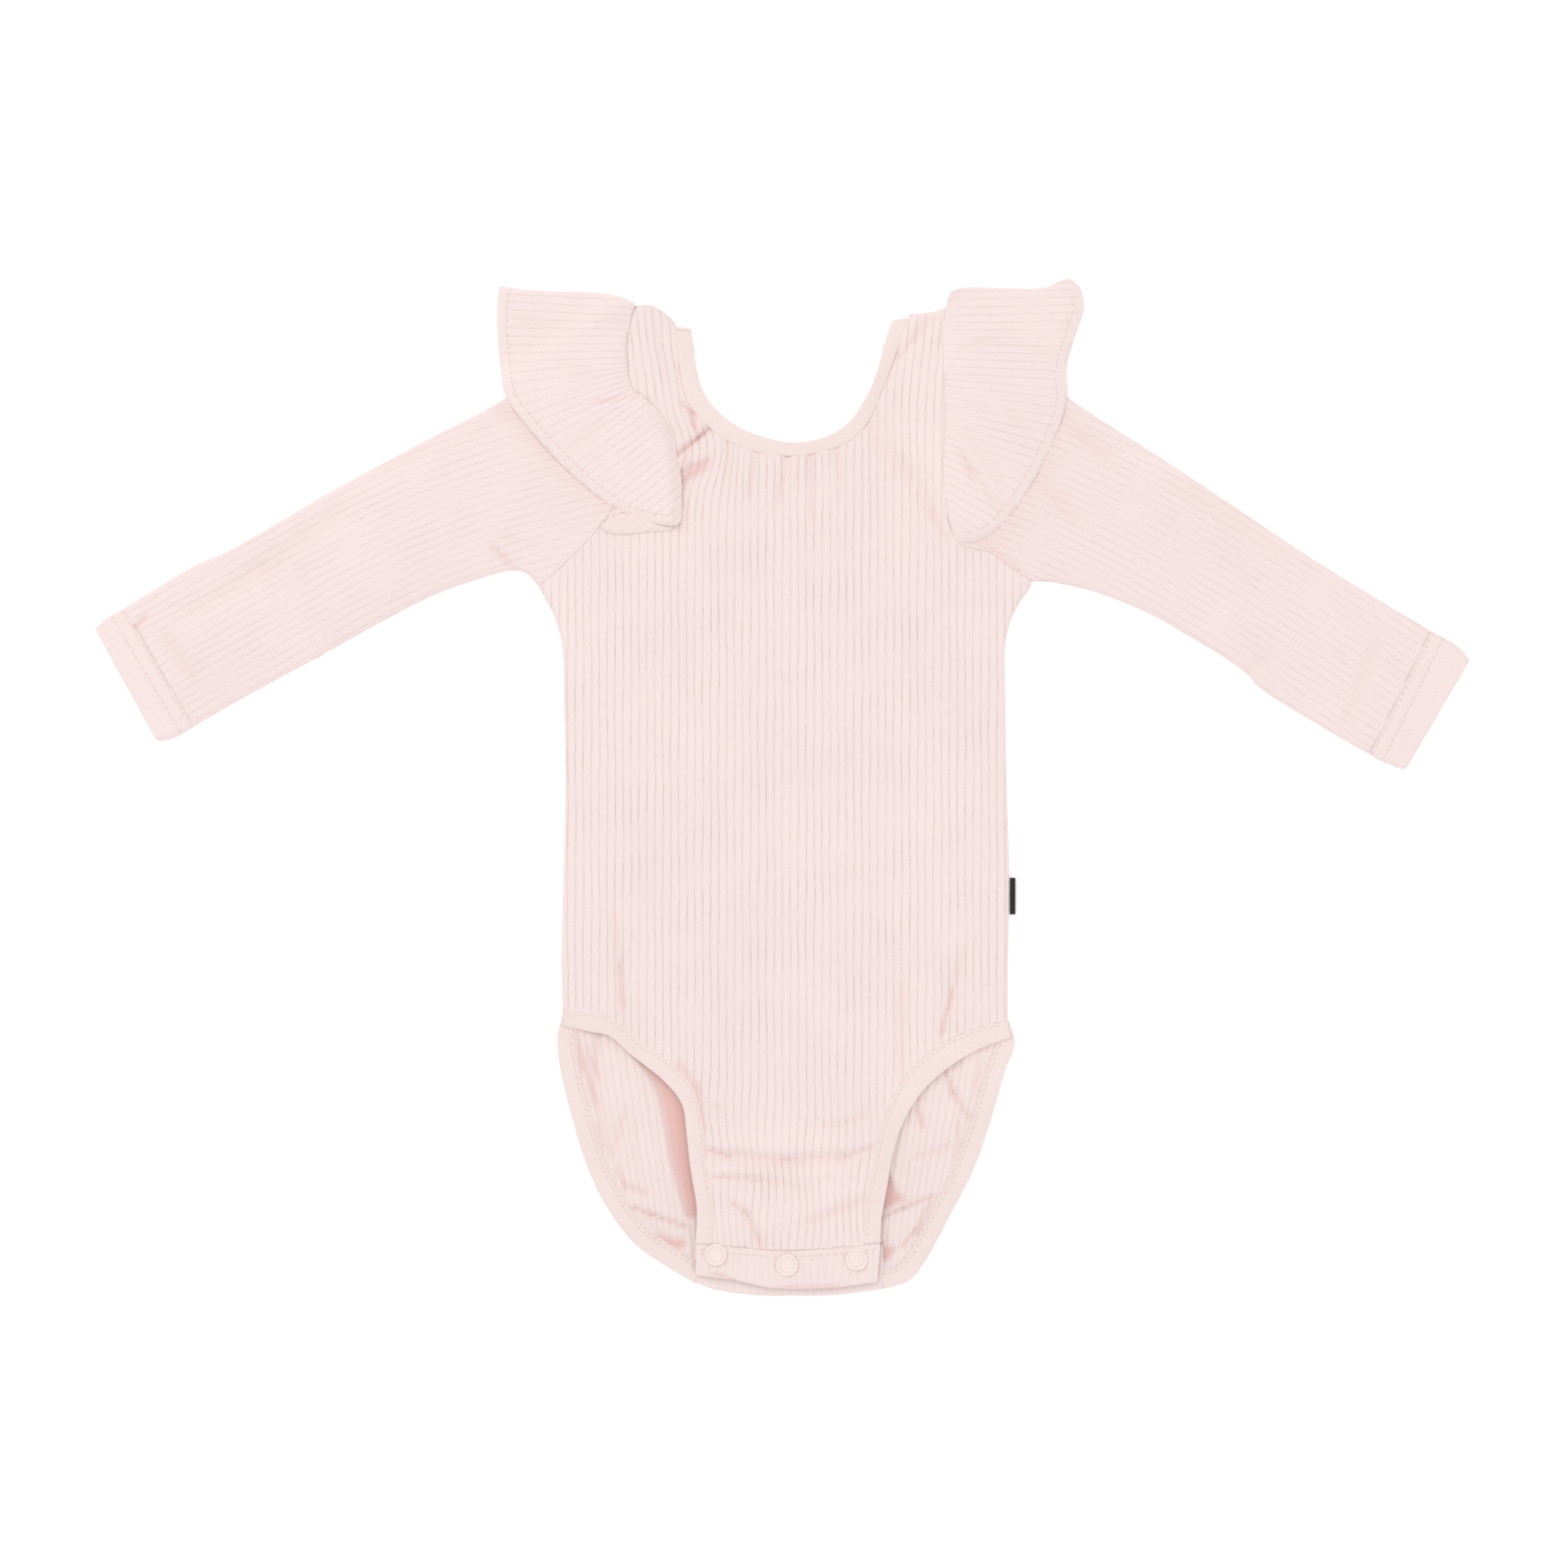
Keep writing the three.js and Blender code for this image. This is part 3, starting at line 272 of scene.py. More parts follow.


# Creases of the front: from one end to the other, how deep, how wide, how pink their painted shade is
FRONT_CREASES = rows_of("""
    -44   170   -40   166    1.2  1.2  0.3
    -40   166   -39   160    1.3  1.4  0.5
    -31   161   -37   155    0.7  0.8  0.35
    -37   155   -45   148    0.7  0.8  0.25
    -32   159   -45   149    1.1  1.5  0.5
    -34   144.5 -45   140    0.8  1.0  0.45
    -36   142   -45   136    0.9  3.0  0.6
    -43   147   -44   118    0.3  2.8  0.2
    -55   200   -52   182    0.3  1.4  0.05
    -45   186   -42   172    0.5  1.2  0.15
     65   208    60   200    0.7  2.4  0.1
     60   200    51   191    0.8  2.2  0.14
     51   191    47   182    0.5  1.8  0.08
     38   161    44   150    0.9  3.2  0.05
     44   150    55   139    1.0  3.4  0.06
     55   139    66   122    1.2  3.0  0.07
     66   122    71   112    0.8  1.9  0.16
     40   168    48   156    0.4  1.6  0.08
    -12   147   -14   131    0.8  1.5  0.12
      2   146    -1.5 127    1.1  1.8  0.14
      7   146     6   134    0.5  1.2  0.1
     12.6 146    13.3 121    1.1  1.7  0.16
     24   149    27   131    0.7  1.6  0.1
    -24   153   -25   138    0.6  1.4  0.1
    -75   -58   -72   -80    0.6  1.6  0.1
    -72   -80   -71   -97    1.0  1.4  0.3
     80   -74    75   -92    0.6  1.6  0.12
     75   -92    71  -108    1.0  1.1  0.4
     53   -94    52  -124    0.7  3.0  0.1
    -45  -124   -38  -134    1.0  1.4  0.3
    -38  -134   -35  -150    0.9  1.4  0.3
    -35  -140   -27  -143    0.5  1.3  0.1
    -32  -161   -24  -164    1.0  1.1  0.3
    -24  -164     2  -167    1.2  2.5  0.1
      2  -167    26  -165    1.2  2.5  0.1
    -24  -162     0  -165    0.4  1.0  0.12
      2  -165    26  -163    0.4  1.0  0.12
     26  -165    39  -160    1.0  1.3  0.2
    -29  -173   -12  -174    0.7  1.1  0.2
    -12  -174     8  -178    0.4  1.6  0.1
    -22  -185   -16  -189    0.9  1.1  0.3
    -16  -189   -10  -202    0.9  1.2  0.3
     12  -193    35  -184    0.7  1.8  0.15
     20  -150    36  -147    0.4  1.6  0.1
""")

# The other tables have the same columns; a ridge has a height and no painted shade
FRONT_RIDGES = rows_of("""
    -52   153   -36   143    0.8  2.6  0
     58   205    55   196    0.7  2.4  0
     50   154    66   134    0.7  2.8  0
      7   145     6   126    0.5  2.2  0
     18   146    20   126    0.5  2.4  0
     -6   146    -8   128    0.4  2.4  0
    -68   -60   -66   -96    0.4  3.0  0
     71   -78    65  -104    0.5  3.0  0
    -24  -159    30  -158    0.8  2.6  0
    -24  -170    24  -171    0.6  2.2  0
    -27  -180    -8  -196    0.5  2.6  0
      4  -190    34  -178    0.5  2.6  0
""")
LEG_BAND_CREASES = rows_of("""
    -91  -108   -88  -118    0.8  1.2  0.3
    -76  -114   -71  -118    0.6  1.2  0.3
    -40  -150   -33  -146    0.5  1.2  0.2
    -42  -168   -33  -172    0.6  1.2  0.2
     72  -125    75  -116    0.8  1.2  0.3
     58  -144    66  -150    0.7  1.2  0.3
     58  -162    74  -159    0.5  1.4  0.2
     48  -172    44  -170    0.7  1.4  0.3
     46  -190    60  -183    0.7  1.4  0.3
""")

# The back where the leg openings show its inside: hollows with a sharp outer side, and folds
BACK_HOLLOWS = [
    [(-69, -117), (-64.5, -123), (-60.8, -128.5), (-57.2, -135.2), (-55.1, -144.2), (-52.9, -155),
     (-51.1, -165.8), (-48.2, -176.6), (-45.4, -185.6), (-43, -192), (-34, -192), (-36, -160),
     (-40, -140), (-52, -124), (-64, -114)],
    [(-58, -194.5), (-50, -198.5), (-42, -200.5), (-42, -206), (-50, -207.5), (-55, -203)],
    [(87.1, -114), (89.3, -126.2), (87.6, -134), (85, -141), (84.2, -134), (86.2, -124)],
    [(44, -168), (48, -171), (51, -178), (57, -184), (50, -187), (44, -189), (40, -188), (40, -170)],
    [(42, -200.5), (48, -203), (52, -204.5), (49, -209), (46.5, -212), (42, -211)],
]
BACK_CREASES = rows_of("""
    -92  -109   -88  -124    1.2  1.4  0.5
    -88  -124   -83  -139    1.2  1.2  0.5
    -83  -139   -80  -150    0.8  1.2  0.25
    -86  -117   -82  -129    0.8  1.1  0.4
    -81  -152   -77  -163    0.9  1.3  0.2
    -82  -110   -84  -136    0.9  1.5  0.25
    -75  -162   -70  -146    0.9  1.5  0.15
    -73  -170   -70  -177    0.9  1.2  0.4
    -70  -177   -62  -180    0.8  1.2  0.4
    -65  -187   -58  -190    1.0  1.0  0.6
    -58  -190   -43  -195    1.0  1.0  0.6
    -80  -140   -76  -152    0.5  1.6  0.1
    -66  -150   -64  -172    0.4  1.6  0.1
     72  -126    76  -136    1.0  1.1  0.4
     76  -136    83  -147    0.8  1.1  0.4
     60  -144    62  -150    1.0  1.2  0.6
     60  -164    74  -160    0.6  1.6  0.2
     78  -150    79  -160    0.7  1.2  0.3
     79  -160    77  -166    0.7  1.2  0.3
     44  -191    54  -187    1.0  1.0  0.6
     54  -187    66  -182    0.9  1.0  0.5
     66  -184    60  -196    0.8  1.1  0.4
     60  -196    54  -203    0.9  1.1  0.5
""")
SNAP_BAND_CREASES = rows_of("""
    -27  -203   -20  -204.4  0.3  0.9  0.2
     -5  -205     5  -205.4  0.3  0.9  0.45
     22  -204.6  33  -203.2  0.3  0.9  0.2
    -31  -215.6 -27  -216.2  0.5  0.8  0.5
    -27  -216.2 -22  -218.4  0.4  0.8  0.4
      0  -221.6  22  -221.2  0.2  0.8  0.35
""")
BACK_RIDGES = rows_of("""
    -74  -122   -66  -134    0.9  3.0  0
    -65  -132   -60  -150    1.1  3.0  0
    -60  -150   -56  -170    1.1  2.6  0
    -55  -172   -50  -186    0.9  2.2  0
    -94  -114   -90  -146    0.5  2.4  0
     82  -120    80  -140    0.9  3.0  0
     66  -136    70  -156    0.7  3.0  0
     58  -168    58  -178    0.7  2.4  0
""")
SLEEVE_CREASES = rows_of("""
    -124   168   -104   152    0.3  5.0  0.16
    -112   156   -84   134    0.3  5.0  0.16
    -128   106  -120    98    0.9  1.3  0.25
    -122   110  -112   106    0.4  2.0  0.05
    -200   120  -232    96    0.9  4.5  0.08
    -232    96  -258    80    0.8  3.6  0.06
    -272    64  -262    50    0.9  3.0  0.12
    -286    72  -283    75    0.9  1.3  0.3
    -120   165  -170   143    0.4  4.0  0.03
    -240   112  -252   106    0.5  1.6  0.08
      92   106   104    97    0.6  1.8  0.16
     118   168   142   148    0.4  4.6  0.13
     108   140   126   122    0.3  4.4  0.12
     180   130   214   108    0.6  4.4  0.05
     212    57   207    52    0.5  1.6  0.06
     262    58   252    34    0.7  3.0  0.1
""")
SLEEVE_RIDGES = rows_of("""
    -134   162  -160   146    0.6  5.0  0
    -245   104  -262    95    0.8  3.0  0
     150   138   190   112    0.6  6.0  0
     205    70   240    50    0.5  5.0  0
""")
FRILL_CREASES = rows_of("""
    -82   208   -68   205    0.5  1.6  0.05
    -82   170   -74   171.5  0.8  1.1  0.14
    -74   171   -66   172.5  0.5  1.4  0.06
    -115   206  -100   203    0.4  3.4  0.04
    -96   185   -84   180    0.4  2.4  0.05
    -92   150   -80   160    0.3  3.0  0.04
    -74   124   -66   120    0.5  1.2  0.15
     81   195    89   197    0.6  1.2  0.06
     89   197   117   193.5  0.5  1.4  0.05
     82   168    91   167    0.4  1.2  0.05
     82   155    96   137    0.7  2.6  0.03
     79   148    84   139    1.2  1.5  0.08
     84   139    96   123    1.1  2.0  0.05
    128   212   127   194    0.5  1.4  0.05
    100   170   112   150    0.4  3.0  0.03
""")
FRILL_RIDGES = rows_of("""
    -72   168   -54   160    0.8  4.0  0
    -50   150   -48   125    1.0  4.0  0
     84   160    90   130    0.7  4.0  0
""")


# Lines and distances

def mixed(t, start, end, a, b):
    """From a at the start to b at the end."""
    return (end - t) / (end - start) * a + (t - start) / (end - start) * b


def line_through(rows, step=OUTLINE_STEP):
    """A smooth line through table rows, in equal steps: a centripetal Catmull-Rom spline."""
    points = np.array(rows, float)
    points = np.vstack([2 * points[0] - points[1], points, 2 * points[-1] - points[-2]])
    pieces = []
    for p0, p1, p2, p3 in zip(points, points[1:], points[2:], points[3:]):
        t1 = max(math.sqrt(math.dist(p0, p1)), 1e-6)
        t2 = t1 + max(math.sqrt(math.dist(p1, p2)), 1e-6)
        t3 = t2 + max(math.sqrt(math.dist(p2, p3)), 1e-6)
        t = np.linspace(t1, t2, SPLINE_STEPS)[:-1, None]
        a1, a2, a3 = mixed(t, 0, t1, p0, p1), mixed(t, t1, t2, p1, p2), mixed(t, t2, t3, p2, p3)
        b1, b2 = mixed(t, 0, t2, a1, a2), mixed(t, t1, t3, a2, a3)
        pieces.append(mixed(t, t1, t2, b1, b2))
    dense = np.vstack(pieces + [points[-2][None]])
    return even(dense, max(2, int(round(length_of(dense) / step)) + 1))


def length_of(points):
    return float(np.linalg.norm(np.diff(points, axis=0), axis=1).sum())


def run_of(points):
    """How far along the line each of its points is."""
    return np.concatenate([[0], np.cumsum(np.linalg.norm(np.diff(points, axis=0), axis=1))])


def even(points, count):
    """The same line cut into equal steps."""
    run = run_of(points)
    steps = np.linspace(0, run[-1], count)
    return np.column_stack([np.interp(steps, run, column) for column in points.T])


def normals_of(points):
    """Unit normals to the left of a line as it is walked."""
    along = np.gradient(points[:, :2], axis=0)
    along /= np.maximum(np.linalg.norm(along, axis=1), 1e-9)[:, None]
    return np.column_stack([-along[:, 1], along[:, 0]])


def aside(points, distance):
    return points + distance * normals_of(points)


def distance_to(points, x, y):
    """Distance from each place to a line of straight pieces."""
    shape = x.shape
    x, y = x.ravel(), y.ravel()
    least = np.full(x.size, np.inf)
    for (ax, ay), (bx, by) in zip(points[:-1, :2], points[1:, :2]):
        dx, dy = bx - ax, by - ay
        size = dx * dx + dy * dy
        if size < 1e-12:
            continue
        t = np.clip(((x - ax) * dx + (y - ay) * dy) / size, 0, 1)
        np.minimum(least, (x - ax - t * dx) ** 2 + (y - ay - t * dy) ** 2, out=least)
    return np.sqrt(least).reshape(shape)


def distance_to_any(lines, x, y):
    """Distance from each place to the nearest of several lines."""
    return np.min([distance_to(line, x, y) for line in lines], axis=0)


def inside_of(outline, x, y):
    inside = np.zeros(x.shape, bool)
    for (ax, ay), (bx, by) in zip(outline[:-1], outline[1:]):
        if ay == by:
            continue
        crosses = ((ay > y) != (by > y)) & (x < ax + (bx - ax) * (y - ay) / (by - ay))
        inside ^= crosses
    return inside


def smooth(value, low, high):
    t = np.clip((value - low) / (high - low), 0, 1)
    return t * t * (3 - 2 * t)


def near(away, reach):
    """1 at a line, fading over a few times the reach."""
    return np.exp(-(away / reach) ** 2)


def ridge(away, height, place, reach):
    """A ridge along a line, at a distance from it."""
    return height * near(away - place, reach)


def closed_loop(*lines):
    """One outline from lines that follow each other, closed at its start."""
    outline = np.vstack([np.asarray(line, float)[:, :2] for line in lines])
    keep = np.concatenate([[True], np.linalg.norm(np.diff(outline, axis=0), axis=1) > 1e-6])
    outline = outline[keep]
    return np.vstack([outline, outline[:1]])


SIDES = ("left", "right")
SIGN = {"left": 1, "right": -1}


def both(table):
    """The smooth line of each side."""
    return {side: line_through(table[side]) for side in SIDES}


armhole, shoulder, body_side = both(ARMHOLE), both(SHOULDER), both(SIDE)
sleeve_upper, sleeve_lower = both(SLEEVE_UPPER), both(SLEEVE_LOWER)
cuff_upper, cuff_lower = both(CUFF_UPPER), both(CUFF_LOWER)
frill_fold, frill_hem, frill_root = both(FRILL_FOLD), both(FRILL_HEM), both(FRILL_ROOT)
leg_seam, leg_edge, back_edge = both(FRONT_LEG_SEAM), both(FRONT_LEG_EDGE), both(BACK_LEG_EDGE)
back_leg_seam = {side: aside(back_edge[side], SIGN[side] * BACK_LEG_BAND) for side in SIDES}
neck_seam = line_through(NECK_SEAM)
neck_edge = line_through(NECK_EDGE)
snap_band_top = line_through(SNAP_BAND_TOP)
snap_band_bottom = line_through(SNAP_BAND_BOTTOM)
flap_fold = line_through(FLAP_FOLD)


def hanging(points):
    """The neck line of the back, lower in its middle."""
    t = np.linspace(0, math.pi, len(points))
    return np.column_stack([points[:, 0], points[:, 1] - NECK_BACK_DROP * np.sin(t)])


# Heights of the cloth over the floor

closed_edges = [even(line[side], 60) for line in (sleeve_upper, sleeve_lower, body_side) for side in SIDES]
closed_edges += [np.array([ARMHOLE["left"][0], NECK_EDGE[0]], float),
                 np.array([ARMHOLE["right"][0], NECK_EDGE[-1]], float)]

back_leaf = {}
for side in SIDES:
    hem = even(frill_hem[side], 60)[:43]
    root = even(armhole[side], 60)[:37]
    back_leaf[side] = closed_loop(root, aside(hem, SIGN[side] * BACK_LEAF_INSET)[::-1])


def fold_lines(rows, x, y):
    """For each fold of a table: the row, how far each place is across it, and how it fades at its ends."""
    for row in rows:
        x1, y1, x2, y2 = row[:4]
        width = row[5]
        dx, dy = x2 - x1, y2 - y1
        size = math.hypot(dx, dy)
        t = ((x - x1) * dx + (y - y1) * dy) / size
        past = np.maximum(np.maximum(-t, t - size), 0)
        across = ((x - x1) * dy - (y - y1) * dx) / size
        yield row, across / width, near(past, FADE_PER_WIDTH * width + FADE_PER_LENGTH * size)


def dents(rows, x, y, shoulder=0.3):
    """How deep the creases are: a trough with a soft shoulder on both its sides."""
    total = np.zeros(x.shape)
    for row, across, end in fold_lines(rows, x, y):
        trough = near(across, 1) - shoulder * near(np.abs(across) - SHOULDER_AT, SHOULDER_REACH)
        total += row[4] * trough * end
    return np.minimum(total, DEEPEST_CREASE)


def bumps(rows, x, y):
    total = np.zeros(x.shape)
    for row, across, end in fold_lines(rows, x, y):
        np.maximum(total, row[4] * near(across, 1) * end, out=total)
    return total


def hidden_dents(rows, x, y, edge_away):
    """How deep the creases of a hidden side are, none of them near its edges."""
    depth = dents(rows, x + HIDDEN_MOVE[0], y + HIDDEN_MOVE[1], 0.0)
    return np.minimum(HIDDEN_SHARE * depth, HIDDEN_DEEPEST) * smooth(edge_away, 1.5, 7)


def crease_shade_paint(rows, x, y):
    """Painted shade: how much deeper the colour is in the troughs."""
    total = np.zeros(x.shape)
    for row, across, end in fold_lines(rows, x, y):
        np.maximum(total, row[6] * near(across * PAINTED_SHADE_NARROWER, 1) * end, out=total)
    return total


def lift(x, y):
    away = np.zeros(x.shape)
    for side in SIDES:
        outline = back_leaf[side]
        distance = np.where(inside_of(outline, x, y), 0, distance_to(outline, x, y))
        away = np.where((x < 0) == (side == "left"), distance, away)
    return LAYER * (1 - smooth(away, LIFT_MARGIN, LIFT_MARGIN + LIFT_RUN))


def puff(x, y):
    """How far the cloth stands open between its closed edges."""
    return PUFF_RISE * (1 - np.exp(-distance_to_any(closed_edges, x, y) / PUFF_RUN))


def waves(x, y, seed, size=38, rise=0.35):
    """Slow unevenness of cloth that was smoothed by hand."""
    rng = np.random.default_rng(seed)
    total = np.zeros(x.shape)
    for _ in range(7):
        angle, phase = rng.uniform(0, 2 * math.pi, 2)
        wave = 2 * math.pi / (size * rng.uniform(0.6, 1.8))
        total += np.sin(wave * (x * math.cos(angle) + y * math.sin(angle)) + phase)
    return rise * total / math.sqrt(7)


def hollow(x, y, run=2.6):
    """Where the back sinks to the floor beside the front's bands, with its sharp side."""
    total = np.zeros(x.shape)
    for corners in BACK_HOLLOWS:
        outline = closed_loop(line_through(corners + corners[:1], 2.0))
        away = distance_to(outline, x, y)
        total = np.maximum(total, np.where(inside_of(outline, x, y), smooth(away, -0.2, run), 0))
    return total


def back_under(x, y):
    shown = smooth(-y, BACK_SHOWN_FROM, BACK_SHOWN_TO)
    folds = (BACK_RISE + bumps(BACK_RIDGES, x, y) - dents(BACK_CREASES, x, y)) * (1 - hollow(x, y))
    return lift(x, y) + np.maximum(folds, 0) * shown


def front_under(x, y):
    flap = LAYER * (1 - smooth(y, FLAP_LIFT_TO, FLAP_LIFT_FROM))
    rise = puff(x, y) * (HELD_PUFF + (1 - HELD_PUFF) * smooth(y, HELD_TO, HELD_FROM))
    inside = np.maximum(GAP, rise + waves(x, y, FRONT_WAVES) * smooth(rise, 0.2, 1.6))
    return lift(x, y) + LAYER + flap + inside


def past_upper_edge(side, x, y):
    edge = sleeve_upper[side]
    order = np.argsort(edge[:, 0])
    inner = edge[0]
    level = np.interp(x, edge[order, 0], edge[order, 1])
    level = np.where((x - inner[0]) * SIGN[side] > 0, inner[1], level)
    return np.where(y > level, distance_to(edge, x, y), 0)


def frill_under(side, x, y):
    past = past_upper_edge(side, x, y)
    over = np.where(past > 0, LAYER + GAP, front_under(x, y) - lift(x, y))
    drop = smooth(past, DRAPE_MARGIN, DRAPE_MARGIN + DRAPE_RUN)
    return lift(x, y) + (over + CLOTH + FRILL_CLEARANCE) * (1 - drop)


def at(field, point):
    """A field's value at one place."""
    return float(field(np.array([point[0]]), np.array([point[1]]))[0])


def placed(name, data):
    """A new object in the scene."""
    made = bpy.data.objects.new(name, data)
    bpy.context.scene.collection.objects.link(made)
    return made


# Mesh of a leaf of cloth: a grid along the ribs, trimmed to its outline

def rib_stations(low, high):
    first, last = math.floor(low / RIB_PITCH), math.ceil(high / RIB_PITCH)
    return np.array([(k + part) * RIB_PITCH for k in range(first, last) for part in RIB_COLUMNS])


def cell_corners(grid):
    """The four corners of every cell of a grid, in turn round the cell."""
    return [grid[:-1, :-1], grid[:-1, 1:], grid[1:, 1:], grid[1:, :-1]]


def cells(index):
    """The faces of a whole grid of point numbers."""
    return np.column_stack([corner.ravel() for corner in cell_corners(index)]).tolist()


def trimmed(us, vs, place, outline):
    """Corners (x, y), their cloth coordinates (u, v) and the faces of a grid inside an outline."""
    grid_u, grid_v = np.meshgrid(us, vs)
    grid_x, grid_y = place(grid_u, grid_v)
    away = distance_to(outline, grid_x, grid_y)
    away = np.where(inside_of(outline, grid_x, grid_y), away, -away)
    away = np.where(np.abs(away) < 0.02, 0.02, away)
    kept = away > 0
    count = int(kept.sum())
    index = np.full(away.shape, -1)
    index[kept] = np.arange(count)
    grid = np.stack([grid_x, grid_y, grid_u, grid_v], axis=-1)
    corners = [grid[kept]]

    def cut(i1, j1, i2, j2):
        t = (away[i1, j1] / (away[i1, j1] - away[i2, j2]))[:, None]
        return grid[i1, j1] + t * (grid[i2, j2] - grid[i1, j1])

    i, j = np.nonzero(kept[:, :-1] != kept[:, 1:])
    flat_cut = {pair: count + k for k, pair in enumerate(zip(i.tolist(), j.tolist()))}
    corners.append(cut(i, j, i, j + 1))
    count += len(i)
    i, j = np.nonzero(kept[:-1] != kept[1:])
    steep_cut = {pair: count + k for k, pair in enumerate(zip(i.tolist(), j.tolist()))}
    corners.append(cut(i, j, i + 1, j))

    inner = np.all(cell_corners(kept), axis=0)
    some = np.any(cell_corners(kept), axis=0) & ~inner
    faces = np.column_stack([corner[inner] for corner in cell_corners(index)]).tolist()
    for i, j in zip(*(found.tolist() for found in np.nonzero(some))):
        ring = [(i, j), (i, j + 1), (i + 1, j + 1), (i + 1, j)]
        cuts = [flat_cut.get((i, j)), steep_cut.get((i, j + 1)),
                flat_cut.get((i + 1, j)), steep_cut.get((i, j))]
        face = []
        for corner, crossing in zip(ring, cuts):
            if kept[corner]:
                face.append(int(index[corner]))
            if crossing is not None:
                face.append(crossing)
        if len(face) > 2:
            faces.append(face)
    corners = np.vstack(corners)
    used = sorted({k for face in faces for k in face})
    renumber = {old: new for new, old in enumerate(used)}
    faces = [[renumber[k] for k in face] for face in faces]
    corners = corners[used]
    a, b, c = (corners[[face[k] for face in faces], :2] for k in (0, 1, 2))
    turn = (b[:, 0] - a[:, 0]) * (c[:, 1] - a[:, 1]) - (b[:, 1] - a[:, 1]) * (c[:, 0] - a[:, 0])
    if np.median(turn) < 0:
        faces = [face[::-1] for face in faces]
    return corners, faces


def raised(points, height):
    return np.column_stack([points[:, 0], points[:, 1], height])


class Cloth:
    """Gathers the leaves of one piece: faces, points and what material and ribs read from them."""

    def __init__(self):
        self.faces, self.parts, self.count = [], [], 0

    def add(self, faces, points, uv, relief, fold):
        self.faces += [[k + self.count for k in face] for face in faces]
        self.parts.append((points, uv, relief, fold))
        self.count += len(points)

    def wall(self, faces, upper, lower, uv, relief_upper, relief_lower, fold):
        """Two surfaces with the same faces, closed by a rim."""
        n = len(upper)
        edges = set()
        for face in faces:
            for a, b in zip(face, face[1:] + face[:1]):
                if (b, a) in edges:
                    edges.remove((b, a))
                else:
                    edges.add((a, b))
        shell = faces + [[k + n for k in face[::-1]] for face in faces]
        shell += [[b, a, a + n, b + n] for a, b in sorted(edges)]
        self.add(shell, np.vstack([upper, lower]), np.vstack([uv, uv]),
                 np.concatenate([relief_upper, relief_lower]), np.concatenate([fold, fold * 0]))

    def leaf(self, corners, faces, top, bottom, relief_top, relief_bottom, fold):
        """A wall between two heights over the same corners."""
        upper, lower = (raised(corners, height) for height in (top, bottom))
        self.wall(faces, upper, lower, corners[:, 2:], relief_top, relief_bottom, fold)

    def sweep(self, sections, closed, uv):
        """A closed ring of points carried along a path."""
        count = sections.shape[0] * sections.shape[1]
        index = np.arange(count).reshape(sections.shape[:2])
        ends = [] if closed else [index[0, ::-1].tolist(), index[-1].tolist()]
        index = np.hstack([index, index[:, :1]])
        if closed:
            index = np.vstack([index, index[:1]])
        plain = np.zeros(count)
        self.add(cells(index) + ends, sections.reshape(-1, 3), uv.reshape(-1, 2), plain, plain)

    def piece(self, name):
        mesh = bpy.data.meshes.new(name)
        points, uv, relief, fold = (np.concatenate(values) for values in zip(*self.parts))
        mesh.from_pydata((points * TO_METRES).tolist(), [], self.faces)
        uv = uv * TO_METRES
        corner_point = np.empty(len(mesh.loops), np.int32)
        mesh.loops.foreach_get("vertex_index", corner_point)
        layer = mesh.uv_layers.new(name="cloth")
        layer.data.foreach_set("uv", uv[corner_point].astype(np.float32).ravel())
        # fold holds how strongly painted shade deepens the colour
        for label, values in (("rib", uv[:, 0]), ("relief", relief), ("fold", fold)):
            attribute = mesh.attributes.new(label, "FLOAT", "POINT")
            attribute.data.foreach_set("value", values.astype(np.float32))
        mesh.shade_smooth()
        return placed(name, mesh)


def rolled(height, middle, away, radius):
    """A height that closes towards the middle at a folded edge, as a round bend."""
    t = np.clip(away / radius, 0, 1)
    return middle + (height - middle) * np.sqrt(1 - (1 - t) ** 2)


# Body panels

def body_outline(neck, legs, bottom):
    left, right = armhole["left"], armhole["right"]
    inset = SEAM_OPENING / 2
    return closed_loop(
        shoulder["left"], aside(neck, -inset), shoulder["right"],
        aside(right, -inset), body_side["right"], legs["right"], bottom,
        legs["left"][::-1], body_side["left"][::-1], aside(left, inset)[::-1],
    )


def rib_lean(u, v):
    """The ribs of the front lean: towards the gathers by the left frill, along the straps, in to the
    crotch and, below the legs, to and fro."""
    gathers = 6.0 * near(v - 149, 15) * smooth(-u, 10, 40) * (1 - smooth(-u, 60, 75))
    strap_left = -0.1 * (v - 165) * smooth(v, 165, 195) * smooth(-u, 30, 45)
    strap_right = 0.08 * (v - 165) * smooth(v, 165, 195) * smooth(u, 30, 45)
    crotch = -0.07 * (u - 3) * smooth(-v, 140, 205)
    ruck = 0.7 * np.sin(0.13 * v + 0.09 * u) * smooth(-v, 112, 150)
    return gathers + strap_left + strap_right + crotch + ruck


def back_place(u, v):
    """The back's ribs draw together towards the crotch."""
    drawn = 1 - 0.2 * smooth(-v, 95, 225)
    return u * drawn + wander(u, v), v


def wander(u, v):
    """Ribs are never quite straight."""
    return sum(far * np.sin(rate_v * v + rate_u * u + phase) for far, rate_v, rate_u, phase in RIB_BENDS)


def unevenness(x, y, seed):
    """How strongly the ribs stand out from place to place."""
    return np.clip(MEAN_RELIEF + waves(x, y, seed, 24, 0.2), LEAST_RELIEF, MOST_RELIEF)


def body_place(u, v):
    return u + rib_lean(u, v) + wander(u, v), v


def row_heights(spans):
    """Rows of the mesh: each span is (from, to, step)."""
    return np.concatenate([np.arange(low, high, step) for low, high, step in spans])


FRONT_ROWS = row_heights([(-206, -100, 1.5), (-100, 100, 3.0), (100, 176, 1.35), (176, 222, 2.2)])
BACK_ROWS = row_heights([(-232, -100, 1.5), (-100, 222, 3.2)])


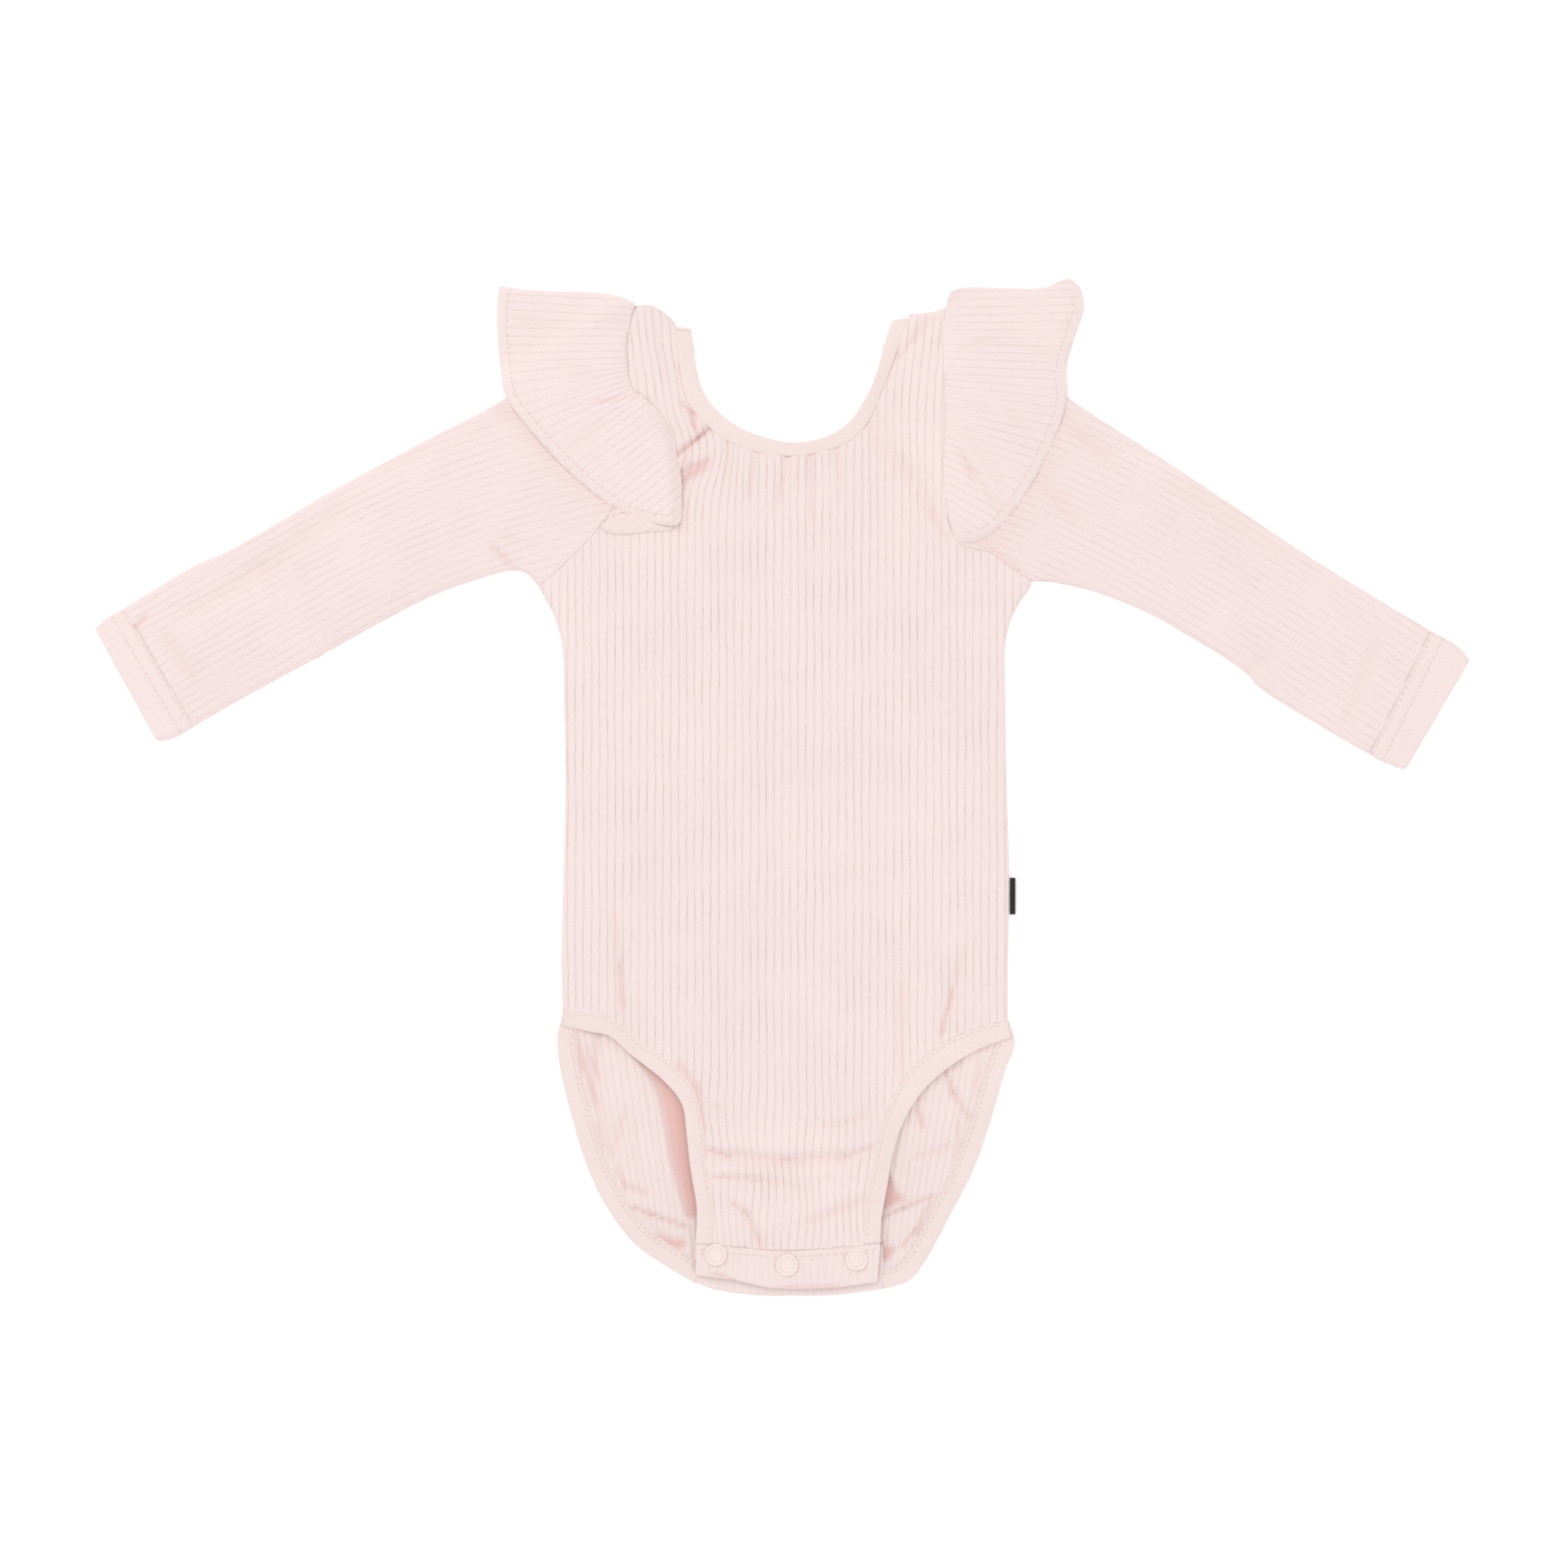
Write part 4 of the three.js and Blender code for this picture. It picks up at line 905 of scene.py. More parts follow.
def body_grid(outline, rows, place=body_place):
    return trimmed(rib_stations(*BODY_COLUMNS), rows, place, outline)


def body_fold_away(x, y):
    """Distance to where the panels meet at the sides and the shoulders."""
    return distance_to_any([*body_side.values(), *shoulder.values()], x, y)


def front_panel():
    seam_inset = SEAM_OPENING / 2
    legs = {side: aside(leg_seam[side], SIGN[side] * seam_inset) for side in SIDES}
    bottom = snap_band_top + [0, seam_inset]
    between_legs = (bottom[:, 0] > legs["left"][-1, 0]) & (bottom[:, 0] < legs["right"][-1, 0])
    outline = body_outline(neck_seam, legs, bottom[between_legs][::-1])
    corners, faces = body_grid(outline, FRONT_ROWS)
    x, y = corners[:, 0], corners[:, 1]
    fold_away = body_fold_away(x, y)
    seam_away = distance_to(outline, x, y)
    under = front_under(x, y)
    folds = bumps(FRONT_RIDGES, x, y) - dents(FRONT_CREASES, x, y)
    meets_frill = np.where(x < 0, *(smooth(y, *MEETS_FRILL[side]) for side in SIDES))
    rise = ridge(distance_to_any(frill_root.values(), x, y), *FRILL_SEAM_RIDGE) * meets_frill
    top = under + CLOTH + folds + rise - ridge(seam_away, *SEAM_GROOVE) * (fold_away > FOLD_CLEAR)
    bottom = under + np.minimum(folds, 0)
    middle = lift(x, y) + CLOTH + GAP / 2
    top = np.maximum(rolled(top, middle, fold_away, CLOSED_ROLL), middle + THINNEST)
    bottom = np.maximum(rolled(np.maximum(bottom, middle), middle, fold_away, CLOSED_ROLL), middle)
    top = np.maximum(top, bottom + 0.2 * smooth(fold_away, 0, 2) + THINNEST)
    relief = smooth(seam_away, RIB_END, RIB_FADE) * unevenness(x, y, FRONT_RIB_WAVES)
    cloth = Cloth()
    # The last value is the painted shade in the front's creases
    cloth.leaf(corners, faces, top, bottom, relief, relief * 0, crease_shade_paint(FRONT_CREASES, x, y))
    return cloth.piece("front_cloth")


def back_panel():
    legs = {side: aside(back_leg_seam[side], SIGN[side] * SEAM_OPENING) for side in SIDES}
    bottom = np.array([legs["right"][-1], legs["left"][-1]])
    outline = body_outline(hanging(neck_seam), legs, bottom)
    corners, faces = body_grid(outline, BACK_ROWS, back_place)
    x, y = corners[:, 0], corners[:, 1]
    fold_away = body_fold_away(x, y)
    seam_away = distance_to(outline, x, y)
    edge_away = np.minimum(fold_away, seam_away)
    under = back_under(x, y)
    middle = lift(x, y) + CLOTH + GAP / 2
    top = rolled(under + CLOTH, middle, fold_away, CLOSED_ROLL)
    creases = np.maximum(hidden_dents(FRONT_CREASES, x, y, edge_away),
                         hidden_dents(BACK_CREASES, x, y, edge_away))
    bottom = under + creases + ridge(seam_away, *SEAM_GROOVE) * (fold_away > FOLD_CLEAR)
    bottom = np.minimum(rolled(bottom, middle, fold_away, CLOSED_ROLL), top - THINNEST)
    shown = smooth(-y, BACK_SHOWN_FROM, BACK_SHOWN_FROM + 8)
    # Painted shade in the back's creases and in the hollows beside the front's bands
    creases, hollows = crease_shade_paint(BACK_CREASES, x, y), hollow(x, y, HOLLOW_SHADE_RUN)
    fold = np.maximum(CREASE_SHADE_PINK * creases, HOLLOW_SHADE_PINK * hollows) * shown
    relief = smooth(seam_away, RIB_END, RIB_FADE)
    relief = relief * (1 - 0.8 * hollow(x, y, HOLLOW_RIB_RUN)) * (1 - 0.4 * shown)
    cloth = Cloth()
    cloth.leaf(corners, faces, top, bottom, relief * shown, relief, fold)
    return cloth.piece("back_cloth")


# Sleeves and cuffs

def along(guide):
    """Cloth coordinates about a guide: v runs along it and u across it, to its left."""
    run = run_of(guide)
    left = normals_of(guide)

    def place(u, v):
        px, py, nx, ny = (np.interp(v, run, column) for column in (*guide.T, *left.T))
        u = u + wander(u, v)
        return px + u * nx, py + u * ny

    return place, run[-1]


def tube_leaves(side, outline, open_lines, name, row_step, rise=None, strength=SLEEVE_RELIEF):
    """Front and back leaf of a sleeve or cuff, closed along its upper and lower edges."""
    place, size = along(line_through(SLEEVE_GRAIN[side], 4))
    corners, faces = trimmed(rib_stations(*TUBE_COLUMNS), np.arange(0, size, row_step), place, outline)
    x, y = corners[:, 0], corners[:, 1]
    closed_lines = [line[side] for line in (sleeve_upper, sleeve_lower, cuff_upper, cuff_lower)]
    fold_away = distance_to_any(closed_lines, x, y)
    open_away = distance_to_any(open_lines, x, y)
    edge_away = np.minimum(open_away, fold_away)
    dip = ridge(open_away, *SEAM_GROOVE) * (fold_away > FOLD_CLEAR)
    folds = (bumps(SLEEVE_RIDGES, x, y) - dents(SLEEVE_CREASES, x, y)) * smooth(fold_away, 0, 6)
    under = front_under(x, y)
    base = lift(x, y)
    middle = base + CLOTH + GAP / 2

    def closing(height, level):
        return rolled(height, level, fold_away, CLOSED_ROLL)

    relief = strength * smooth(edge_away, RIB_END, RIB_FADE) * unevenness(x, y, SLEEVE_RIB_WAVES)
    # Painted shade in the sleeve's creases, and a painted shadow of the frill's hem on the sleeve
    hem_shadow = UNDER_HEM_SHADOW * near(distance_to(frill_hem[side], x, y), UNDER_HEM_SHADOW_REACH)
    fold = np.maximum(crease_shade_paint(SLEEVE_CREASES, x, y), hem_shadow)
    top = closing(under + CLOTH + folds - dip + (rise(open_away) if rise else 0), middle)
    inner = np.maximum(closing(under + np.minimum(folds, 0), middle), middle)
    cloth = Cloth()
    cloth.leaf(corners, faces, np.maximum(top, inner + THINNEST), inner, relief, relief * 0, fold)
    middle = middle - MIDDLE_GAP
    low = closing(base + dip + hidden_dents(SLEEVE_CREASES, x, y, edge_away), middle)
    inner = np.minimum(closing(base + CLOTH, middle), middle)
    cloth.leaf(corners, faces, inner, np.minimum(low, inner - THINNEST), relief * 0, relief, fold * 0)
    return cloth.piece(name)


def sleeve(side):
    inset = SIGN[side] * SEAM_OPENING / 2
    seam = aside(armhole[side], -inset)
    seam = seam[seam[:, 1] < sleeve_upper[side][0, 1] - 0.5]
    cuff_seam = np.array([sleeve_upper[side][-1], sleeve_lower[side][-1]])
    outline = closed_loop(sleeve_upper[side], cuff_seam, sleeve_lower[side][::-1], seam[::-1])
    return tube_leaves(side, outline, [armhole[side], cuff_seam], f"sleeve_cloth_{side}", SLEEVE_ROW_STEP)


def cuff_rise(away):
    """A cuff stands a little proud and is stitched down a second time."""
    return 0.45 * smooth(away, 0, 1.8) - ridge(away, *CUFF_GROOVE)


def cuff(side):
    outward = -SIGN[side] * SEAM_OPENING
    start = np.array([cuff_upper[side][0], cuff_lower[side][0]]) + [outward, 0]
    end = np.array([cuff_upper[side][-1], cuff_lower[side][-1]])
    outline = closed_loop(cuff_upper[side][1:], end, cuff_lower[side][:0:-1], start[::-1])
    return tube_leaves(side, outline, [start], f"cuff_cloth_{side}", CUFF_ROW_STEP, cuff_rise, CUFF_RELIEF)


# Shoulder frills

def frill_grid(side, outline, row_step):
    """A frill's ribs run across its guide, so the cloth coordinates change places."""
    place, size = along(line_through(FRILL_GRAIN[side], 3))
    rows = np.arange(*FRILL_ROWS, row_step)
    return trimmed(rib_stations(0, size), rows, lambda u, v: place(v, u), outline)


def frill(side):
    cloth = Cloth()
    frill_front_leaf(cloth, side)
    if side == "left":
        hem_underside(cloth, side)
    frill_back_leaf(cloth, side)
    return cloth.piece(f"frill_cloth_{side}")


def frill_front_leaf(cloth, side):
    """What shows: it folds over the shoulder, rolls over the armhole and is sewn down at its root."""
    hem = frill_hem[side]
    seam = aside(frill_root[side], SIGN[side] * ROOT_OVERLAP)
    outline = closed_loop(frill_fold[side], hem, [hem[-1], seam[-1]], seam[::-1])
    corners, faces = frill_grid(side, outline, 2.0)
    x, y = corners[:, 0], corners[:, 1]
    fold_away, root_away, hem_away = (distance_to(line, x, y) for line in (frill_fold[side], seam, hem))
    under = frill_under(side, x, y)
    folds = bumps(FRILL_RIDGES, x, y) - dents(FRILL_CREASES, x, y)
    rolls_over = bulge_share(side, x, y)
    bulge = rolls_over * ridge(root_away, *ROOT_BULGE)
    hem_form = ridge(hem_away, *HEM_RIDGE) - ridge(hem_away, *HEM_GROOVE) - ridge(hem_away, *HEM_ROLL)
    middle = 0.5 * (under + CLOTH)
    top = rolled(under + CLOTH + folds + bulge + hem_form, middle, fold_away, FRILL_ROLL)
    inner = rolled(under + np.minimum(folds, 0) + bulge * 0.9, middle, fold_away, FRILL_ROLL)

    # Down to the front at the root, rolled where it bulges and sewn flat elsewhere
    ground = front_under(x, y) + CLOTH + 0.1
    close = rolls_over * (smooth(root_away, -0.8, BULGE_ROLL) - 1)
    top, inner = top + close * (top - ground), inner + close * (inner - ground)
    sewn = near(root_away, SEWN_REACH) * (1 - np.clip(rolls_over, 0, 1))
    top = top - sewn * (top - ground - 0.2)
    inner = inner - sewn * np.maximum(inner - ground + 0.05, 0)

    # Down on the sleeve at the hem
    settle = ridge(hem_away, *HEM_SETTLE)
    top, inner = top - settle, inner - settle
    edge = (1 - np.clip(hem_away / HEM_THINNING_RUN, 0, 1)) ** 2
    top = np.maximum(top - HEM_THINNING * edge, inner + FRILL_THINNEST)

    relief = FRILL_RELIEF * smooth(np.minimum(hem_away, root_away), RIB_END, RIB_FADE)
    relief = relief * (1 - 0.8 * smooth(HEM_STITCH - hem_away, 0, 1.2)) * unevenness(x, y, FRILL_RIB_WAVES)
    # Painted shade along the left root seam and in the frill's creases
    root_seam_shade = ROOT_SEAM_SHADE * near(root_away, 0.8) * smooth(y, 168, 176) * (side == "left")
    fold = np.maximum(crease_shade_paint(FRILL_CREASES, x, y), root_seam_shade)
    cloth.leaf(corners, faces, top, inner, relief, relief, fold)


def hem_underside(cloth, side):
    """The turned corner that shows below the hem."""
    outline = closed_loop(line_through(HEM_UNDERSIDE, 1.0))
    corners, faces = frill_grid(side, outline, 1.5)
    x, y = corners[:, 0], corners[:, 1]
    ground = front_under(x, y) + CLOTH
    rim = 0.3 * (1 - smooth(distance_to(outline, x, y), 0, 1))
    # The turned corner's colour is deepened a little, 0.04, by painted shade
    cloth.leaf(corners, faces, ground + 0.65 - rim, ground + 0.1, x * 0 + HEM_UNDER_RELIEF, x * 0,
               x * 0 + 0.04)


def frill_back_leaf(cloth, side):
    """What lies hidden behind the shoulder."""
    outline = closed_loop(frill_fold[side], frill_hem[side][:1], leaf_hem(side), leaf_root(side)[::-1])
    corners, faces = frill_grid(side, outline, 3.0)
    x, y = corners[:, 0], corners[:, 1]
    fold_away = distance_to(frill_fold[side], x, y)
    rim_away = distance_to(outline, x, y)
    middle = 0.5 * (frill_under(side, x, y) + CLOTH)
    upper = rolled(np.full(x.shape, CLOTH), middle, fold_away, FRILL_ROLL)
    lower = rolled(hidden_dents(FRILL_CREASES, x, y, rim_away), middle, fold_away, FRILL_ROLL)
    lower = np.minimum(lower, upper - FRILL_THINNEST)
    relief = smooth(rim_away, RIB_END, RIB_FADE)
    cloth.leaf(corners, faces, upper, lower, relief * 0, relief, relief * 0)


def leaf_hem(side):
    return aside(even(frill_hem[side], 60)[1:43], SIGN[side] * BACK_LEAF_INSET)


def leaf_root(side):
    return aside(even(armhole[side], 60)[:37], -SIGN[side] * GAP / 2)


def bulge_share(side, x, y):
    """Where a frill's root rolls over the front past the armhole."""
    if side == "left":
        return smooth(x, -72, -64) * (1 - smooth(y, 166, 176))
    return np.zeros(x.shape)


# Bands: a rounded strip carried along a line

def band_profile():
    angle = np.linspace(0, 2 * math.pi, BAND_PROFILE_POINTS, endpoint=False)
    across = 0.5 + 0.5 * np.sign(np.cos(angle)) * np.abs(np.cos(angle)) ** 0.45
    up = 0.5 * np.sign(np.sin(angle)) * np.abs(np.sin(angle)) ** 0.42
    return across, up


def swept_band(cloth, inner, outer, up_axis, closed=False):
    """inner and outer are the band's two long edges; up_axis is its outward normal at each station."""
    across, up = band_profile()
    width = np.linalg.norm(outer - inner, axis=1)
    base = inner[:, None] + across[None, :, None] * (outer - inner)[:, None]
    swell = (1 + BAND_CROWN * np.sin(np.pi * across)) * BAND
    groove = -ridge(across * width[:, None], *BAND_GROOVE) * (up > 0)
    height = up[None, :] * swell[None, :] + groove
    sections = base + height[:, :, None] * up_axis[:, None]
    run = run_of(inner)
    uv = np.stack([np.broadcast_to(across * width.mean(), height.shape),
                   np.broadcast_to(run[:, None], height.shape)], axis=-1)
    normal = np.cross((outer - inner)[0], up_axis[0])
    along_path = inner[1] - inner[0]
    if np.dot(normal, along_path) > 0:
        sections = sections[:, ::-1]
        uv = uv[:, ::-1]
    cloth.sweep(sections, closed, uv)


def resampled(a, b):
    count = max(3, int(round(length_of(a) / BAND_STEP)) + 1)
    return even(a, count), even(b, count)


def neck_band():
    """One ring: along the front, over the right shoulder, along the back and over the left one."""
    count, trim, arc = 90, 2, 7
    last = count - 1 - trim
    level = BAND * 0.55
    up = np.array([0.0, 0.0, 1.0])
    front_lines = [even(aside(neck_seam, -BAND_LAP), count), even(neck_edge, count)]
    back_lines = [even(aside(hanging(neck_seam), -BAND_LAP), count), even(hanging(neck_edge), count)]
    rows = []

    def creases(x, y):
        return dents(FRONT_CREASES, x, y)

    def front_row(k):
        return [np.array([*line[k], at(front_under, line[k]) + level - 0.5 * at(creases, line[k])])
                for line in front_lines]

    def back_row(k):
        return [np.array([*line[k], level]) for line in back_lines]

    def bend(start, end, outward, axis):
        outward = np.array([*outward, 0.0]) / np.linalg.norm(outward)
        for angle in math.pi * np.arange(1, arc) / arc:
            turned = []
            for a, b in zip(start, end):
                centre, half = (a + b) / 2, (a - b) / 2
                round_by = outward * np.linalg.norm(half) * math.sin(angle)
                turned.append(centre + half * math.cos(angle) + round_by)
            rows.append((*turned, axis * math.cos(angle) + outward * math.sin(angle)))

    rows += [(*front_row(k), up) for k in range(trim, last + 1)]
    bend(front_row(last), back_row(last), front_lines[0][-1] - front_lines[0][-4], up)
    rows += [(*back_row(k), -up) for k in range(last, trim - 1, -1)]
    bend(back_row(trim), front_row(trim), front_lines[0][0] - front_lines[0][3], -up)
    inner, outer, axis = (np.array(column) for column in zip(*rows))
    cloth = Cloth()
    swept_band(cloth, inner, outer, axis, closed=True)
    return cloth.piece("neck_binding")


def leg_binding(name, lines, height):
    """A binding that lies flat, between two lines, at a height given for each place."""
    inner, outer = (raised(line, height(line[:, 0], line[:, 1])) for line in lines)
    cloth = Cloth()
    swept_band(cloth, inner, outer, np.tile([0.0, 0.0, 1.0], (len(inner), 1)))
    return cloth.piece(name)


def front_leg_band(side):
    def height(x, y):
        creases = dents(LEG_BAND_CREASES, x, y)
        free = front_under(x, y) + BAND * 0.5 - creases - 0.6 * dents(FRONT_CREASES, x, y)
        return np.maximum(free, back_under(x, y) + CLOTH + BAND * 0.62)

    lines = resampled(aside(leg_seam[side], SIGN[side] * BAND_LAP), leg_edge[side])
    return leg_binding(f"leg_binding_front_{side}", lines, height)


def back_leg_band(side):
    def height(x, y):
        return back_under(x, y) * 0.8 + BAND * 0.6

    outer, inner = resampled(back_edge[side], aside(back_leg_seam[side], SIGN[side] * BAND_LAP))
    outer[0, 1] += BAND_END
    inner[0, 1] += BAND_END
    return leg_binding(f"leg_binding_back_{side}", (inner, outer), height)


# Crotch: snap band, flap and snaps

def snap_band():
    outline = closed_loop(snap_band_top - [0, SEAM_OPENING], snap_band_bottom[::-1])
    columns, rows = rib_stations(*SNAP_BAND_COLUMNS), np.arange(*SNAP_BAND_ROWS)
    corners, faces = trimmed(columns, rows, body_place, outline)
    x, y = corners[:, 0], corners[:, 1]
    rim_away = distance_to(outline, x, y)
    under = front_under(x, y)
    top_away = distance_to(snap_band_top, x, y)
    edge = np.where(top_away < rim_away + 0.1, BAND_SEAM_EDGE, BAND_EDGE)
    edge = edge * (1 - np.clip(rim_away / BAND_EDGE_RUN, 0, 1)) ** 2
    groove_away = distance_to(snap_band_top - [0, SNAP_BAND_GROOVE], x, y)
    top = under + BAND - edge - ridge(groove_away, *SNAP_BAND_SEAM) - DIMPLE_DEPTH * dimple(x, y)
    top = top - dents(SNAP_BAND_CREASES, x, y)
    cloth = Cloth()
    relief = SNAP_BAND_RELIEF * smooth(rim_away, 0.5, BAND_EDGE_RUN)
    # The last value is the painted shade in the snap band's creases
    cloth.leaf(corners, faces, top, under + edge * 0.25, relief, x * 0, crease_shade_paint(SNAP_BAND_CREASES, x, y))
    return cloth.piece("snap_band_cloth")


def dimple(x, y):
    """The cloth is pressed in around each snap."""
    total = np.zeros(x.shape)
    for sx, sy in SNAPS:
        past = np.maximum(np.hypot(x - sx, y - sy) - DIMPLE_RADIUS, 0)
        total = np.maximum(total, near(past, DIMPLE_RUN))
    return total


def crotch_flap():
    """The back's end: under the front, round its fold and up inside."""
    width = 90
    middle = width // 2
    ends = [back_leg_seam[side][-1] - [0, SEAM_OPENING] for side in SIDES]
    seam = np.linspace(*ends, width)
    fold = even(flap_fold, width)
    low, high = CLOTH / 2, BAND + GAP + CLOTH / 2
    radius = (high - low) / 2
    reach = radius + CLOTH / 2
    rows = [raised(seam + (fold + [0, reach] - seam) * t, np.full(width, low)) for t in np.linspace(0, 1, 7)]
    for angle in np.linspace(0, math.pi, 9)[1:-1]:
        turned = fold + [0, reach - radius * math.sin(angle)]
        rows.append(raised(turned, np.full(width, low + radius * (1 - math.cos(angle)))))
    for t in np.linspace(0, 1, 9):
        rows.append(raised(fold + [0, reach + FLAP_REACH * t], np.full(width, high)))
    grid = np.array(rows)
    count = len(rows) * width
    quads = cells(np.arange(count).reshape(-1, width))
    normal = np.cross(np.gradient(grid, axis=1), np.gradient(grid, axis=0))
    normal /= np.maximum(np.linalg.norm(normal, axis=2), 1e-9)[:, :, None]
    if normal[0, middle, 2] > 0:
        normal = -normal
        quads = [face[::-1] for face in quads]
    run = run_of(grid[:, middle])
    uv = np.stack([grid[:, :, 0], np.broadcast_to(run[:, None], grid.shape[:2])], axis=-1).reshape(-1, 2)
    outer, inner = ((grid + way * normal * CLOTH / 2).reshape(-1, 3) for way in (1, -1))
    cloth = Cloth()
    cloth.wall(quads, outer, inner, uv, np.full(count, FLAP_RELIEF), np.zeros(count), np.zeros(count))
    return cloth.piece("crotch_flap_cloth")


def snap_cap(number, place):
    """A ring cap: domed rim, a groove and a shallow well, turned on a lathe."""
    radius, height, ring, well = (SNAP_SIZE[name] for name in ("radius", "height", "ring", "well"))
    profile = [(well * 0.6, 0.67), (well, 0.71), (well + 0.3, 0.84), (ring - 0.5, 0.9),
               (ring - 0.15, 0.8), (ring, 0.62), (ring + 0.2, 0.78), (ring + 0.45, 1.05), (4.3, height),
               (4.65, 1.08), (4.9, 0.88), (radius, 0.62), (4.95, 0.35), (4.75, 0.05), (4.6, 0.0)]
    turns = SNAP_TURNS
    angle = 2 * math.pi * np.arange(turns) / turns
    circle = np.column_stack([np.cos(angle), np.sin(angle), np.zeros(turns)])
    foot = np.array([*place, at(front_under, place) + BAND - SNAP_SIZE["sunk"]])
    points = np.vstack([foot + [0, 0, 0.66], *(foot + [0, 0, h] + circle * r for r, h in profile), foot])
    index = 1 + np.arange(len(profile) * turns).reshape(-1, turns)
    index = np.hstack([index, index[:, :1]]).tolist()
    faces = [[0, a, b] for a, b in zip(index[0], index[0][1:])]
    faces += [face[::-1] for face in cells(np.array(index))]
    faces += [[a, len(points) - 1, b] for a, b in zip(index[-1], index[-1][1:])]
    mesh = bpy.data.meshes.new(f"snap_cap_{number}")
    mesh.from_pydata((points * TO_METRES).tolist(), [], faces)
    mesh.shade_smooth()
    return placed(mesh.name, mesh)


def side_label():
    """A folded tab of woven tape at the side seam."""
    size = LABEL
    steps = 10
    half = size["wall"] / 2
    reach = size["width"] - half
    ring = [(0.0, -half), (reach * 0.5, -half * 0.94), (reach, -half)]
    ring += [(reach + half * math.sin(math.pi * k / steps), -half * math.cos(math.pi * k / steps))
             for k in range(1, steps)]
    ring += [(reach, half), (reach * 0.5, half * 0.94), (0.0, half)]
    sections = []
    for t in np.linspace(-0.5, 0.5, 15):
        y = size["y"] + t * size["height"]
        wave = 0.12 * math.sin(5 * t)
        sections.append([(size["x"] + a, y, size["z"] + b + wave) for a, b in ring])
    sections = np.array(sections)
    uv = np.stack([sections[:, :, 0], sections[:, :, 1]], axis=-1)
    cloth = Cloth()
    cloth.sweep(sections, False, uv)
    return cloth.piece("label_tape")


# Geometry Nodes

class Wiring:
    """Adds nodes to a tree and links them."""

    def __init__(self, made):
        self.nodes, self.links = made.nodes, made.links

    def feed(self, socket, value):
        """A socket takes a link from another one, or a fixed value."""
        if hasattr(value, "links"):
            self.links.new(value, socket)
        else:
            socket.default_value = value

    def node(self, kind, inputs=(), **settings):
        node = self.nodes.new(kind)
        for label, value in settings.items():
            setattr(node, label, value)
        for label, value in dict(inputs).items():
            self.feed(node.inputs[label], value)
        return node

    def maths(self, operation, *values):
        node = self.node("ShaderNodeMath", operation=operation)
        for socket, value in zip(node.inputs, values):
            self.feed(socket, value)
        return node.outputs[0]

    def attribute(self, label):
        """A value of the mesh, read in a geometry tree."""
        return self.node("GeometryNodeInputNamedAttribute", {"Name": label}).outputs["Attribute"]

    def noise(self, place, scale, detail=2.0):
        values = {"Vector": place, "Scale": scale, "Detail": detail}
        return self.node("ShaderNodeTexNoise", values).outputs["Fac"]


def tree(name, inputs):
    """A geometry tree with its named inputs: (name, socket type, default)."""
    made = bpy.data.node_groups.new(name, "GeometryNodeTree")
    made.interface.new_socket("Geometry", in_out="INPUT", socket_type="NodeSocketGeometry")
    for label, kind, value in inputs:
        socket = made.interface.new_socket(label, in_out="INPUT", socket_type=kind)
        if value is not None:
            socket.default_value = value
    made.interface.new_socket("Geometry", in_out="OUTPUT", socket_type="NodeSocketGeometry")
    made.is_modifier = True
    return made, Wiring(made), made.nodes.new("NodeGroupInput").outputs


def finish_tree(wiring, given, geometry):
    """What a tree made, as plain mesh in its material."""
    real = wiring.node("GeometryNodeRealizeInstances", {"Geometry": geometry})
    dress = wiring.node("GeometryNodeSetMaterial", {"Geometry": real.outputs["Geometry"],
                                                    "Material": given["Material"]})
    wiring.node("NodeGroupOutput", {"Geometry": dress.outputs["Geometry"]})


def knit_ribs_tree():
    """Sinks a groove between neighbouring ribs and crowns each rib."""
    made, wiring, given = tree("knit ribs", [
        ("Pitch", "NodeSocketFloat", RIB_PITCH * TO_METRES),
        ("Depth", "NodeSocketFloat", RIB_DEPTH * TO_METRES),
        ("Groove width", "NodeSocketFloat", GROOVE_WIDTH * TO_METRES),
        ("Material", "NodeSocketMaterial", None),
    ])
    maths = wiring.maths
    across = maths("DIVIDE", wiring.attribute("rib"), given["Pitch"])
    off = maths("ABSOLUTE", maths("SUBTRACT", across, maths("ROUND", across)))
    ratio = maths("DIVIDE", maths("MULTIPLY", off, given["Pitch"]), given["Groove width"])
    groove = maths("DIVIDE", 1.0, maths("ADD", maths("POWER", ratio, 4.0), 1.0))
    crown = maths("MULTIPLY", maths("SUBTRACT", 0.5, off), 0.2)
    sink = maths("MULTIPLY", maths("ADD", groove, crown), wiring.attribute("relief"))
    sink = maths("MULTIPLY", maths("MULTIPLY", sink, given["Depth"]), -1.0)
    normal = wiring.node("GeometryNodeInputNormal").outputs["Normal"]
    scale = wiring.node("ShaderNodeVectorMath", {"Scale": sink}, operation="SCALE")
    wiring.feed(scale.inputs[0], normal)
    move = wiring.node("GeometryNodeSetPosition", {"Geometry": given["Geometry"],
                                                   "Offset": scale.outputs["Vector"]})
    finish_tree(wiring, given, move.outputs["Geometry"])
    return made


